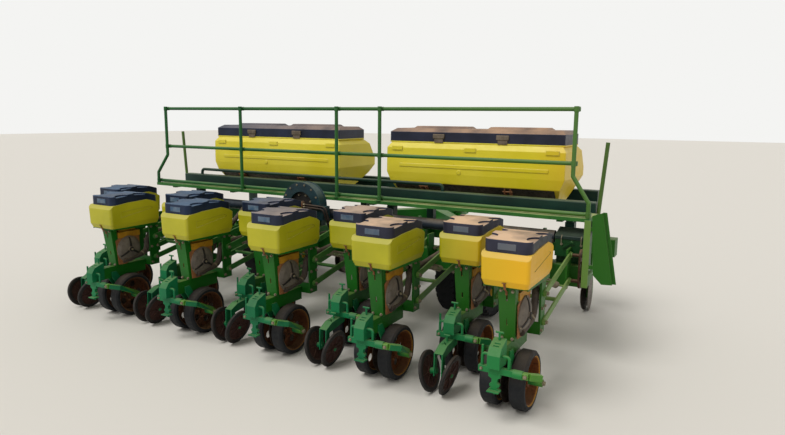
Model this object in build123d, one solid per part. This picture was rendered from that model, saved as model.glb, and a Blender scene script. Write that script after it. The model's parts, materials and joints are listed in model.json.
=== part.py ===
# Row crop planter, ten rows, towed, built from behind to front and from the soil up.
# Millimetres. X points right as seen from behind, Y points forward, Z points up.
# The sizes below are laid out from the rear face of the rear seed hoppers (Y = 0) and from the
# middle row line (X = 0). The model is moved as a whole at the end, so that its own origin is on
# the floor under the middle of its bounding box.
from build123d import *
from math import cos, sin, radians
import os

# Rows
ROW_COUNT = 10
ROW_SPACING = 500
ROW_STAGGER = 434          # odd rows, counted from the left, stand this much further forward
SEAT = 0.3                 # gap between a piece and what carries it
TUBE_CORNER = 12           # outer corner radius of the square tubes

# Toolbars and frame
BAR_OVERHANG = 250         # toolbar past the last row
BAR_DEPTH = 150
BAR_HEIGHT = 180
BAR_BOTTOM = 600
REAR_BAR_Y = 1300          # rear face of the rear toolbar
FRONT_BAR_Y = 2600         # rear face of the front toolbar
BEAM_WIDTH = 100
BEAM_HEIGHT = 150
OUTER_BEAM = 250           # outer frame beams, in from the toolbar's ends
INNER_BEAM = 450           # inner frame beams, from the middle

# Row unit: head plates, parallel arms and their brackets on the rear toolbar
HEAD_HALF = 122            # half width over the head plates
HEAD_PLATE = 15
HEAD_Y = (455, 560)
HEAD_FOOT = 450
WEB_TOP = 540
WEB_PLATE = 12
ARM_THICK = 12
ARM_HEIGHT = 50
ARM_PIVOT_Y = 515
ARM_PIVOT_Z = (530, 740)   # lower and upper arm at the unit
ARM_RISE = 0.19            # rise of the arms for each mm towards the toolbar
ARM_BOSS = 20
ARM_PIN = 10               # how far a pivot stands out of its arm
ARM_TUBE = 16
BRACKET_DEPTH = 120
BRACKET_MARGIN = 50        # bracket above and below its arms

# Row unit: hood, beam, post, tray
HOOD_Y = (-150, -20)
HOOD_Z = (392, 560)
HOOD_HALF = 42
HOOD_WALL = 9
BEAM_HALF = HOOD_HALF - HOOD_WALL - SEAT
BEAM_TOP = 500
SHANK_HALF = 9
SHANK_Y = (240, 320)
SHANK_FOOT = 130
POST_Y = (90, 140)         # middle of the post at its top and at its foot
POST_WIDTH = (120, 100)    # at its top and at its foot
POST_DEPTH = 60
POST_WALL = 8
TRAY_Z = 876
TRAY_HEIGHT = 8
TRAY_Y = (30, 540)
TRAY_HALF = 150
TRAY_LIP = (12, 28)        # side flange at its rear and front end

# Depth bar across the hood's foot
CROSS_Y = (-120, -85)
CROSS_HEIGHT = 40
CROSS_END = 110
COLLAR_X = (118, 180)
COLLAR_RADIUS = 28
BEND_X = (218, 272)
HANDLE_RADIUS = 7
HOOK_RADIUS = 10
HOOK_X = 89
HOOK_Z = 470

# Gauge wheels
GAUGE_RADIUS = 205
GAUGE_WIDTH = 106
GAUGE_OFFSET = 102
GAUGE_Y = 220
GAUGE_RIM = 160            # inside radius of the tyre's outer lip
GAUGE_WEB = 10
GAUGE_BORE = 18
GAUGE_HUB = 50
GAUGE_HUB_RADIUS = 45
GAUGE_SHOULDER = 14
GAUGE_WINDOWS = 5
WINDOW_RADIUS = 32

# Closing wheels, on the forward rows only
CLOSE_RADIUS = 150
CLOSE_WIDTH = 26
CLOSE_TILT = 14
CLOSE_OFFSET = 80
CLOSE_Y = -290
CLOSE_BORE = 14
CLOSE_RIM = 112
CLOSE_WEB = 8
CLOSE_HUB_RADIUS = 34
CLOSE_PLATE = 8
CLOSE_FORK = 34            # half width over the closing arm

# Rack on the rear rows
RACK_Y = (-118, -92)
RACK_FOOT = 240
RACK_WIDE = 40
RACK_NARROW = 18

# Seed hopper
HOPPER_WALL = 5
HOPPER_LENGTH = 570
HOPPER_HALF = 169
HOPPER_WAIST = 925
HOPPER_SHOULDER = 1067
HOPPER_CORNER = 26
HOPPER_BOTTOM = TRAY_Z + TRAY_HEIGHT + SEAT
MOUTH_MARGIN = 30          # rim between the lid's edge and the hopper's mouth
RECESS = 2.5
LID_HALF = 160
LID_REAR = 30
LID_FRONT = 548
LID_WALL = 5
LID_TOP = 1202
LID_CORNER = 50
DIP_RADIUS = 62
DIP_DEPTH = 13
HINGE_REACH = 8            # hinge axis ahead of the lid
HINGE_Z = 1083
HINGE_PIN = 4
HINGE_CLEAR = 0.5
KNUCKLE = 8.5
PAD_HALF = 60
PAD_DEPTH = 3

# Fertiliser hoppers
FERT_INNER = 300
FERT_OUTER = 2140
FERT_WALL = 6
FERT_BASE = 1124
FERT_WAIST = 1305
FERT_BELLY = (1400, 1480)
FERT_RIM = 1715
FERT_REAR = 1900
FERT_FRONT = 2655
FERT_SLOPE = (FERT_REAR + 10, 2575)   # rear and front face at the waist
FERT_TIP = (2070, 2240)    # rear and front edge of the hopper's foot
FERT_LID_Y = (1940, 2440)
FERT_LID_SKIRT = 95
LID_END = 20               # lid in from the hopper's ends
FERT_LID_HEIGHT = 130
FERT_HINGE = (9, 7)        # hinge axis ahead of the lid and above the hopper's rim
FERT_LUG = 7
PAN_WALL = 4
PAN_END = 90
PAN_SKIN = 8               # width of a slanting sheet, measured level
PAN_REACH = 10             # outer bend beyond the hopper's tip
PAN_GAP = 1
OUTLET = 70

# Stand and catwalk
STAND_Y = (1700, 2630)     # rear faces of the two cross beams
STAND_BEAM = 100
STAND_Z = (1120, 1250)
STAND_END = 40             # the rear cross beam ends this far inside the toolbar's ends
STAND_FRONT_HALF = 2300    # half length of the front cross beam
UPRIGHT_TOP = 1760
UPRIGHT_LEAN = 45
SILL_HEIGHT = 60
LEG = 80
WALK_Y = (1300, 1620)
WALK_Z = (1140, 1170)
WALK_HALF = 2497
WALK_SHEET = 4
SLOT_PITCH = 80
SLOT_SIZE = (22, 120)

# Handrail
RAIL_RADIUS = 17
RAIL_Y = 1318
RAIL_Z = (1195, 1600, 2030)
POST_X = (-1170, 65, 550)
END_X = (-2310, 2345)
END_FOOT = WALK_HALF - RAIL_RADIUS
FLARE_Z = (1290, 1500)     # the end posts flare out between these heights

# Seed meters, hoses and vacuum manifold
METER_Y = 245
METER_Z = 652
METER_RADIUS = 130
METER_FACE = 50
METER_BACK = -30
HOSE_RADIUS = 25
HOSE_CLEAR = 3
HOSE_RISE = (475, 760)      # where the hose bends forwards behind the head plates
MANIFOLD_Z = 990
MANIFOLD_HALF = 2215
MANIFOLD_RADIUS = 50

# Vacuum fan
FAN_X = -250
FAN_Y = (1150, 1270)
FAN_Z = 1085
FAN_RADIUS = 222
FAN_BASE = 955             # flat underside of the housing, clear of the meter hose
FAN_RIM = 7
FAN_EYE = 135
DUCT_WIDTH = 125
DUCT_OUT = 40              # the outlet stands this far past the housing's round
MOTOR_RADIUS = 42

# Transport wheels
ROAD_RADIUS = 400
ROAD_WIDTH = 200
ROAD_RIM = 205
ROAD_SHOULDER = 30
ROAD_Y = 2020
ROAD_X = 1250
ROAD_LEG = 60
ROAD_GAP = 20
ROAD_BORE = 30
ROAD_HUB = 100
ROAD_WEB = 14

# Drawbar and jack
DRAW_X = 900
DRAW_HALF = 70
TONGUE_Y = 3800
TONGUE_WIDTH = 120
HITCH_Y = 4800
HITCH_Z = 520
HITCH_BORE = 18
JAW_LENGTH = 150
JAW_GAP = 60
JACK_Y = 4300
JACK_X = 120
JACK_FOOT = 12

# Right-hand end
DRIVE_WIDTH = 262
DRIVE_GAP = 20             # between the manifold's end and the drive box
DRIVE_HEIGHT = 280
DRIVE_FOOT = 65            # the box stands on a foot of this height, which is set back from its rear face
GUARD_Y = 1150
GUARD_TIP = 2747
GUARD_TOP = 1247
GUARD_FOOT = 689
GUARD_SLANT = 99           # the outer edge leans in by this much from foot to top
GUARD_BORDER = 28
GUARD_FOLD = 40

# Openers
DISC_RADIUS = 190
DISC_THICK = 4
DISC_TOE = 4
DISC_Y = 280
DISC_Z = 190
DISC_OFFSET = 17
DISC_BOSS = 25
COULTER_Y = 2700
COULTER_OFFSET = 23
COULTER_SHANK = 30

LOW_X, HIGH_X = -END_FOOT - RAIL_RADIUS, GUARD_TIP
LOW_Y, HIGH_Y = HOOD_Y[0], HITCH_Y
CENTRE = (-(LOW_X + HIGH_X) / 2, -(LOW_Y + HIGH_Y) / 2, 0)


# Helpers: a box between limits, plates with an outline, round and flat bars between two points
def block(x, y, z):
    middle = Pos((x[0] + x[1]) / 2, (y[0] + y[1]) / 2, (z[0] + z[1]) / 2)
    return middle * Box(x[1] - x[0], y[1] - y[0], z[1] - z[0])


def plate_yz(outline, x):
    return Pos(x[0], 0, 0) * extrude(Plane.YZ * Polygon(*outline, align=None), x[1] - x[0], dir=(1, 0, 0))


def plate_xz(outline, y):
    return Pos(0, y[0], 0) * extrude(Plane.XZ * Polygon(*outline, align=None), y[1] - y[0], dir=(0, 1, 0))


def plate_xy(outline, z):
    return Pos(0, 0, z[0]) * extrude(Polygon(*outline, align=None), z[1] - z[0], dir=(0, 0, 1))


def rod(start, end, radius, bore=0):
    along = Vector(*end) - Vector(*start)
    face = Circle(radius) - Circle(bore) if bore else Circle(radius)
    return extrude(Plane(origin=start, z_dir=along) * face, along.length)


def bar(start, end, width, height, corner=0):
    """Bar between two points, its width across the run and level, with rounded edges if wanted."""
    along = Vector(*end) - Vector(*start)
    across = Vector(0, 0, 1).cross(along)
    plane = Plane(origin=start, x_dir=across, z_dir=along)
    face = RectangleRounded(width, height, corner) if corner else Rectangle(width, height)
    return extrude(plane * face, along.length)


def tube_x(x, y, z, corner=TUBE_CORNER):
    """Square tube along X between limits."""
    middle = ((y[0] + y[1]) / 2, (z[0] + z[1]) / 2)
    return bar((x[0], *middle), (x[1], *middle), y[1] - y[0], z[1] - z[0], corner)


def tube_y(x, y, z, corner=TUBE_CORNER):
    """Square tube along Y between limits."""
    middle = ((x[0] + x[1]) / 2, (z[0] + z[1]) / 2)
    return bar((middle[0], y[0], middle[1]), (middle[0], y[1], middle[1]), x[1] - x[0], z[1] - z[0], corner)


def turned(profile):
    """Solid of revolution about the X axis from an outline of (x, radius) points."""
    return revolve(Polygon(*profile, align=None), Axis.X)


def bent_rod(points, bend, radius):
    path = FilletPolyline(*points, radius=bend)
    return sweep(Plane(origin=path @ 0, z_dir=path % 0) * Circle(radius), path)


def at(rows, shape):
    """The same shapes on each of the given rows."""
    return [Pos(x, y, 0) * piece for x, y in rows for piece in shape]


def save(name, solids):
    os.makedirs("parts", exist_ok=True)
    moved = [Pos(*CENTRE) * solid for solid in solids]
    shape = moved[0] if len(moved) == 1 else Compound(children=moved)
    export_step(shape, f"parts/{name}.step")


# Row places: X and the forward shift of each row
ROWS = [((i - (ROW_COUNT - 1) / 2) * ROW_SPACING, ROW_STAGGER * (1 - i % 2)) for i in range(ROW_COUNT)]
REAR_ROWS = [row for row in ROWS if row[1] == 0]
FORWARD_ROWS = [row for row in ROWS if row[1] > 0]
BAR_HALF = (ROW_COUNT - 1) / 2 * ROW_SPACING + BAR_OVERHANG
BAR_TOP = BAR_BOTTOM + BAR_HEIGHT
BAR_FRONT = FRONT_BAR_Y + BAR_DEPTH
REAR_BAR_FRONT = REAR_BAR_Y + BAR_DEPTH
BEAM_X = (-BAR_HALF + OUTER_BEAM, -INNER_BEAM, INNER_BEAM, BAR_HALF - OUTER_BEAM)


# Toolbars, frame beams and drawbar
def toolbars():
    front = tube_x((-BAR_HALF, BAR_HALF), (FRONT_BAR_Y, BAR_FRONT), (BAR_BOTTOM, BAR_TOP))
    beam_y = (REAR_BAR_FRONT + SEAT, FRONT_BAR_Y - SEAT)
    beam_z = (BAR_TOP - BEAM_HEIGHT, BAR_TOP)
    beams = [tube_y((x - BEAM_WIDTH / 2, x + BEAM_WIDTH / 2), beam_y, beam_z) for x in BEAM_X]
    save("front_toolbar", [front])
    save("frame_beams", beams)


def drawbar():
    start_y = BAR_FRONT + SEAT
    mid_z = (BAR_BOTTOM + BAR_TOP) / 2
    level = (mid_z - DRAW_HALF, mid_z + DRAW_HALF)
    nose = TONGUE_Y - 2 * DRAW_HALF
    pieces = []
    for s in (-1, 1):
        outline = [(s * (DRAW_X + DRAW_HALF), start_y), (s * (DRAW_X - DRAW_HALF), start_y), (s * SEAT / 2, nose),
                   (s * SEAT / 2, TONGUE_Y), (s * DRAW_HALF, TONGUE_Y)]
        pieces.append(plate_xy(outline, level))
    jaw_y = (HITCH_Y - JAW_LENGTH + SEAT, HITCH_Y)
    end_y = HITCH_Y - JAW_LENGTH
    slope = (mid_z - HITCH_Z) / (end_y - TONGUE_Y)
    side = [(TONGUE_Y + SEAT, level[0]), (end_y, HITCH_Z - DRAW_HALF), (end_y, HITCH_Z + DRAW_HALF),
            (TONGUE_Y + SEAT, level[1])]
    pieces.append(plate_yz(side, (-TONGUE_WIDTH / 2, TONGUE_WIDTH / 2)))
    jaw = block((-50, 50), jaw_y, (HITCH_Z - 55, HITCH_Z + 55))
    jaw -= block((-60, 60), (jaw_y[0] + 40, HITCH_Y + 1), (HITCH_Z - JAW_GAP / 2, HITCH_Z + JAW_GAP / 2))
    jaw -= Pos(0, HITCH_Y - 50, HITCH_Z) * Cylinder(HITCH_BORE, 200)
    save("drawbar", pieces + [jaw])
    # Screw jack beside the tongue, its foot on the floor
    tube_z = HITCH_Z + slope * (end_y - JACK_Y)
    top = tube_z + 300
    jack = rod((JACK_X, JACK_Y, 200), (JACK_X, JACK_Y, top), 40)
    jack += rod((JACK_X, JACK_Y, JACK_FOOT), (JACK_X, JACK_Y, 200), 28)
    jack += rod((JACK_X, JACK_Y, 0), (JACK_X, JACK_Y, JACK_FOOT), 110)
    jack += block((TONGUE_WIDTH / 2 + SEAT, JACK_X - 30), (JACK_Y - 50, JACK_Y + 50), (tube_z - 60, tube_z + 60))
    jack += rod((JACK_X, JACK_Y, top), (JACK_X, JACK_Y, top + 30), 12)
    jack += rod((JACK_X, JACK_Y, top + 30), (JACK_X + 160, JACK_Y, top + 30), 10)
    save("parking_jack", [jack])


# Row units: beam with shank, post, head plates, tray
def row_units():
    # The beam's rear end lies inside the hood; its front end meets the web of the head
    rear = HOOD_Y[0] + HOOD_WALL + SEAT
    front = HEAD_Y[0] - SEAT
    low = HOOD_Z[0]
    beam = plate_yz([(rear, low), (rear, BEAM_TOP - 35), (rear + 26, BEAM_TOP), (front, BEAM_TOP), (front, low)],
                    (-BEAM_HALF, BEAM_HALF))
    shank = block((-SHANK_HALF, SHANK_HALF), SHANK_Y, (SHANK_FOOT, low - SEAT))
    save("row_unit_beams", at(ROWS, [beam, shank]))

    # Post: channel with its back to the rear, two slots in the back, leaning forward at its foot
    foot_z = BEAM_TOP + SEAT
    top_z = TRAY_Z - SEAT

    def prism(cut, ahead):
        foot = Pos(0, POST_Y[1] + ahead, foot_z) * Rectangle(POST_WIDTH[1] - cut, POST_DEPTH)
        top = Pos(0, POST_Y[0] + ahead, top_z) * Rectangle(POST_WIDTH[0] - cut, POST_DEPTH)
        return loft([foot, top])

    post = prism(0, 0) - prism(2 * POST_WALL, POST_WALL)
    for z in (630, 800):
        back = POST_Y[1] + (POST_Y[0] - POST_Y[1]) * (z - foot_z) / (top_z - foot_z) - POST_DEPTH / 2
        post -= block((-5, 5), (back - 10, back + POST_WALL + 8), (z - 20, z + 20))
    # Head: two plates with a web between them
    plates = []
    for s in (-1, 1):
        x = sorted((s * HEAD_HALF, s * (HEAD_HALF - HEAD_PLATE)))
        plates.append(block(x, HEAD_Y, (HEAD_FOOT, top_z)))
    inside = HEAD_HALF - HEAD_PLATE - SEAT
    web = block((-inside, inside), (HEAD_Y[0], HEAD_Y[0] + WEB_PLATE), (HEAD_FOOT, WEB_TOP))
    save("row_unit_posts", at(ROWS, [post, web] + plates))

    # Tray: folded sheet under the hopper, its side flanges deeper towards the front
    top = TRAY_Z + TRAY_HEIGHT
    side = [(TRAY_Y[0], top), (TRAY_Y[1], top), (TRAY_Y[1], top - TRAY_LIP[1]), (TRAY_Y[0], top - TRAY_LIP[0])]
    tray = plate_yz(side, (-TRAY_HALF, TRAY_HALF))
    tray -= block((4 - TRAY_HALF, TRAY_HALF - 4), (TRAY_Y[0] - 1, TRAY_Y[1] + 1), (TRAY_Z - 100, TRAY_Z))
    save("hopper_trays", at(ROWS, [tray]))


# Parallel arms, each from the head to a bracket on the rear toolbar, with a tube across the lower pair
def parallel_arms():
    arms = []
    brackets = []
    bracket_y = (REAR_BAR_Y - BRACKET_DEPTH, REAR_BAR_Y - SEAT)
    for x, shift in ROWS:
        pivot_y = REAR_BAR_Y - BRACKET_DEPTH / 2
        run = pivot_y - ARM_PIVOT_Y - shift
        rise = run * ARM_RISE
        inner = HEAD_HALF + SEAT
        for s in (-1, 1):
            for z in ARM_PIVOT_Z:
                start = (x + s * (inner + ARM_THICK / 2), ARM_PIVOT_Y + shift, z)
                end = (start[0], pivot_y, z + rise)
                arm = bar(start, end, ARM_THICK, ARM_HEIGHT)
                for _, y, high in (start, end):
                    arm += rod((x + s * inner, y, high), (x + s * (inner + ARM_THICK + ARM_PIN), y, high), ARM_BOSS)
                    arm += rod((x + s * inner, y, high), (x + s * (inner + ARM_THICK), y, high), ARM_HEIGHT / 2)
                arms.append(arm)
            x_range = sorted((x + s * HEAD_HALF, x + s * (HEAD_HALF - HEAD_PLATE)))
            z_range = (ARM_PIVOT_Z[0] + rise - BRACKET_MARGIN, ARM_PIVOT_Z[1] + rise + BRACKET_MARGIN)
            brackets.append(block(x_range, bracket_y, z_range))
        middle = (ARM_PIVOT_Y + shift + run / 2, ARM_PIVOT_Z[0] + rise / 2)
        arms.append(rod((x - HEAD_HALF, *middle), (x + HEAD_HALF, *middle), ARM_TUBE))
    save("parallel_arms", arms)
    rear = tube_x((-BAR_HALF, BAR_HALF), (REAR_BAR_Y, REAR_BAR_FRONT), (BAR_BOTTOM, BAR_TOP))
    save("rear_toolbar", [rear] + brackets)


# Hood over the beam's end, depth bar below it and the arms that carry the gauge wheels
def hood():
    def outline(inset, below, ahead):
        rear, front = HOOD_Y[0] + inset, HOOD_Y[1] + ahead
        low, top = HOOD_Z[0] - below, HOOD_Z[1] - inset
        return [(rear, low), (rear, top - 82), (rear + 32, top - 35), (HOOD_Y[1], top), (front, top), (front, low)]

    shell = plate_yz(outline(0, 0, 0)[:4] + [(HOOD_Y[1], HOOD_Z[0])], (-HOOD_HALF, HOOD_HALF))
    inside = HOOD_HALF - HOOD_WALL
    shell -= plate_yz(outline(HOOD_WALL, 1, 1), (-inside, inside))
    for y in (-104, -78):
        shell -= block((-20, 20), (y - 5, y + 5), (HOOD_Z[1] - 60, HOOD_Z[1]))
    return shell


def depth_bars():
    bar_z = (HOOD_Z[0] - CROSS_HEIGHT, HOOD_Z[0] - SEAT)
    mid_y = (CROSS_Y[0] + CROSS_Y[1]) / 2
    mid_z = (bar_z[0] + bar_z[1]) / 2
    cross = block((-CROSS_END, COLLAR_X[0]), CROSS_Y, bar_z)
    cross -= rod((-CROSS_END + 20, CROSS_Y[0] - 1, mid_z), (-CROSS_END + 20, CROSS_Y[1] + 1, mid_z), 8)
    cross += rod((COLLAR_X[0], mid_y, mid_z), (COLLAR_X[1], mid_y, mid_z), COLLAR_RADIUS)
    cross += tube_x((COLLAR_X[1], BEND_X[0]), (mid_y - 20, mid_y + 20), (mid_z - 20, mid_z + 20), 6)
    knee = (BEND_X[1], -30, mid_z - 22)
    cross += bar((BEND_X[0], mid_y, mid_z), knee, 40, 40)
    outer_x = GAUGE_OFFSET + GAUGE_WIDTH / 2 + 53
    cross += bar(knee, (outer_x, GAUGE_Y, GAUGE_RADIUS + 20), 14, 40)
    face = GAUGE_OFFSET + GAUGE_HUB / 2 + SEAT
    pin = GAUGE_BORE - 0.5
    cross += rod((face - 20, GAUGE_Y, GAUGE_RADIUS), (face, GAUGE_Y, GAUGE_RADIUS), pin)
    cross += rod((face, GAUGE_Y, GAUGE_RADIUS), (outer_x + 15, GAUGE_Y, GAUGE_RADIUS), 26)
    # Hooked rods from the hood's sides down to the bar; the left one has a stub post on top
    pieces = [hood(), cross]
    for s in (-1, 1):
        route = [(s * (HOOD_HALF + SEAT), mid_y, HOOK_Z), (s * HOOK_X, mid_y, HOOK_Z), (s * HOOK_X, mid_y, HOOD_Z[0])]
        hook = bent_rod(route, 18, HOOK_RADIUS)
        if s < 0:
            hook += rod((s * HOOK_X, mid_y, HOOD_Z[0]), (s * HOOK_X, mid_y, HOOK_Z + 55), HOOK_RADIUS - 2)
        pieces.append(hook)
    # T handle on the hood's sloping top
    handle_y = -45
    handle_z = HOOD_Z[1] - 35 + (handle_y + HANDLE_RADIUS - HOOD_Y[0] - 32) * 35 / (HOOD_Y[1] - HOOD_Y[0] - 32) + SEAT
    handle = rod((0, handle_y, handle_z), (0, handle_y, handle_z + 50), HANDLE_RADIUS)
    handle += rod((-26, handle_y, handle_z + 50), (26, handle_y, handle_z + 50), HANDLE_RADIUS)
    pieces.append(handle)
    # Inner arms beside the beam, each with a boss and a pin in the wheel's hub
    hub = GAUGE_OFFSET - GAUGE_HUB / 2 - SEAT
    for s in (-1, 1):
        side = sorted((s * (BEAM_HALF + SEAT), s * (BEAM_HALF + 11)))
        outline = [(60, HOOD_Z[0] + 8), (60, HOOD_Z[0] + 58), (110, HOOD_Z[0] + 58),
                   (GAUGE_Y + 30, GAUGE_RADIUS), (GAUGE_Y - 30, GAUGE_RADIUS - 25)]
        carrier = plate_yz(outline, side)
        carrier += rod((s * (BEAM_HALF + 5), GAUGE_Y, GAUGE_RADIUS), (s * hub, GAUGE_Y, GAUGE_RADIUS), 32)
        carrier += rod((s * hub, GAUGE_Y, GAUGE_RADIUS), (s * GAUGE_OFFSET, GAUGE_Y, GAUGE_RADIUS), pin)
        pieces.append(carrier)
    save("depth_bars", at(ROWS, pieces))


# Rack under the depth bar on the rear rows, closing arm on the forward rows
def closing_centre():
    t = radians(CLOSE_TILT)
    return CLOSE_RADIUS * cos(t) + CLOSE_WIDTH / 2 * sin(t)


def rear_brackets():
    top = HOOD_Z[0] - CROSS_HEIGHT - SEAT
    # Stepped profile, from the bar down: half width, height
    steps = [(RACK_WIDE, top), (RACK_WIDE, 328), (RACK_NARROW, 316), (RACK_NARROW, 290), (RACK_WIDE - 8, 278),
             (RACK_WIDE - 8, 266), (RACK_NARROW, 254), (RACK_WIDE, RACK_FOOT)]
    rack = plate_xz(steps + [(-x, z) for x, z in steps[::-1]], RACK_Y)
    rack += block((-RACK_WIDE, RACK_WIDE), (RACK_Y[0] - 30, RACK_Y[1]), (RACK_FOOT - 8, RACK_FOOT))
    middle = (RACK_Y[0] + RACK_Y[1]) / 2
    rack += rod((0, middle, RACK_FOOT - 30), (0, middle, RACK_FOOT), HANDLE_RADIUS)

    # Closing arm: two plates and a cover with a crossed slot; slanting stubs carry the wheels
    heel = CLOSE_Y - 30
    side = [(-60, top), (-125, top), (-240, top - 12), (heel, top - 52), (heel - 5, 130), (heel + 40, 130),
            (heel + 45, 265), (-60, 300)]
    arm = block((-CLOSE_FORK, CLOSE_FORK), (-100, -60), (310, 345))
    for s in (-1, 1):
        arm += plate_yz(side, sorted((s * CLOSE_FORK, s * (CLOSE_FORK - CLOSE_PLATE))))
    cover = side[1:4] + [(heel + CLOSE_PLATE, top - 60), (-238, top - 12 - CLOSE_PLATE), (-125, top - CLOSE_PLATE)]
    arm += plate_yz(cover, (-CLOSE_FORK, CLOSE_FORK))
    handle_y = HOOD_Y[0] - 20
    for turn in (-40, 40):
        arm -= Pos(0, handle_y - 36, top) * (Rot(0, 0, turn) * Box(8, 56, 60))
    arm += rod((0, handle_y, top - 8), (0, handle_y, top + 40), HANDLE_RADIUS)
    arm += rod((-24, handle_y, top + 40), (24, handle_y, top + 40), HANDLE_RADIUS)
    t = radians(CLOSE_TILT)
    z = closing_centre()
    for s in (-1, 1):
        start = (s * (CLOSE_OFFSET - 62 * cos(t)), CLOSE_Y, z + 62 * sin(t))
        end = (s * (CLOSE_OFFSET + 20 * cos(t)), CLOSE_Y, z - 20 * sin(t))
        reach = CLOSE_WIDTH / 2 + SEAT
        face = (s * (CLOSE_OFFSET - reach * cos(t)), CLOSE_Y, z + reach * sin(t))
        arm += rod(start, end, CLOSE_BORE - 0.5) + rod(start, face, CLOSE_BORE + 8)
    save("rear_brackets", at(REAR_ROWS, [rack]) + at(FORWARD_ROWS, [arm]))


# Opener discs, two to a shank
def opener_disc(side, reach):
    """Flat disc toed in at the front, with a boss that ends at the shank, reach away."""
    length = reach - SEAT - DISC_BOSS * sin(radians(DISC_TOE))
    disc = Cylinder(DISC_RADIUS, DISC_THICK) + Pos(0, 0, -side * length / 2) * Cylinder(DISC_BOSS, length)
    return Rot(0, 0, side * DISC_TOE) * (Rot(0, 90, 0) * disc)


def opener_discs():
    reach = DISC_OFFSET - SHANK_HALF
    discs = [Pos(s * DISC_OFFSET, DISC_Y, DISC_Z) * opener_disc(s, reach) for s in (-1, 1)]
    save("opener_discs", at(ROWS, discs))


# Wheels that turn: gauge wheels in pairs, closing wheels one by one
def wheels():
    half, hub = GAUGE_WIDTH / 2, GAUGE_HUB / 2
    tread = GAUGE_RADIUS - GAUGE_SHOULDER
    web = -half / 2            # the web stands near the inner side, the outer side is a deep dish
    # Half section: x along the axle with the outer side positive, radius
    section = [(-half, tread), (GAUGE_SHOULDER - half, GAUGE_RADIUS), (half - GAUGE_SHOULDER, GAUGE_RADIUS),
               (half, tread), (half, GAUGE_RIM + 10), (half - 8, GAUGE_RIM), (web + GAUGE_WEB, GAUGE_RIM - 10),
               (web + GAUGE_WEB, GAUGE_HUB_RADIUS), (hub, GAUGE_HUB_RADIUS), (hub, GAUGE_BORE), (-hub, GAUGE_BORE),
               (-hub, GAUGE_HUB_RADIUS), (web, GAUGE_HUB_RADIUS), (web, GAUGE_RIM - 10), (8 - half, GAUGE_RIM),
               (-half, GAUGE_RIM + 10)]
    window_ring = (GAUGE_HUB_RADIUS + GAUGE_RIM - 10) / 2
    sides = {}
    for s in (-1, 1):
        wheel = turned([(s * x, r) for x, r in section])
        for i in range(GAUGE_WINDOWS):
            a = radians(i * 360 / GAUGE_WINDOWS)
            centre = (window_ring * cos(a), window_ring * sin(a))
            wheel -= rod((-s * half, *centre), (0, *centre), WINDOW_RADIUS)
        sides[s] = wheel
    for number, (x, shift) in enumerate(ROWS, 1):
        pair = [Pos(x + s * GAUGE_OFFSET, GAUGE_Y + shift, GAUGE_RADIUS) * sides[s] for s in (-1, 1)]
        save(f"gauge_wheels_{number:02d}", pair)

    half = CLOSE_WIDTH / 2
    web = CLOSE_WEB / 2
    right = [(half, CLOSE_BORE), (half, CLOSE_HUB_RADIUS), (web, CLOSE_HUB_RADIUS), (web, CLOSE_RIM - 4),
             (half - 4, CLOSE_RIM), (half, CLOSE_RIM + 8), (half, CLOSE_RADIUS - 7), (half - 5, CLOSE_RADIUS)]
    closing = turned(right + [(-x, r) for x, r in right[::-1]])
    for number, (x, shift) in enumerate(ROWS, 1):
        if not shift:
            continue
        for s, side in ((-1, "left"), (1, "right")):
            place = Pos(x + s * CLOSE_OFFSET, CLOSE_Y + shift, closing_centre())
            save(f"closing_wheel_{number:02d}_{side}", [place * (Rot(0, s * CLOSE_TILT, 0) * closing)])


# Seed hoppers and their lids. The hopper's top seen from the side: y, z
TOP = [(-8, HOPPER_SHOULDER), (LID_REAR, HOPPER_SHOULDER + 37), (180, HOPPER_SHOULDER + 55),
       (410, HOPPER_SHOULDER + 65), (500, HOPPER_SHOULDER + 38), (HOPPER_LENGTH, HOPPER_SHOULDER - 5)]
ALL_X = (-HOPPER_HALF - 30, HOPPER_HALF + 30)


def below_top(lift):
    """Everything below the hopper's top profile, lifted."""
    low = HOPPER_BOTTOM - 100
    ends = [(-40, low), (-40, TOP[0][1] - 30 + lift)], [(HOPPER_LENGTH + 40, TOP[-1][1] - 25 + lift), (HOPPER_LENGTH + 40, low)]
    return plate_yz(ends[0] + [(y, z + lift) for y, z in TOP] + ends[1], ALL_X)


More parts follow.
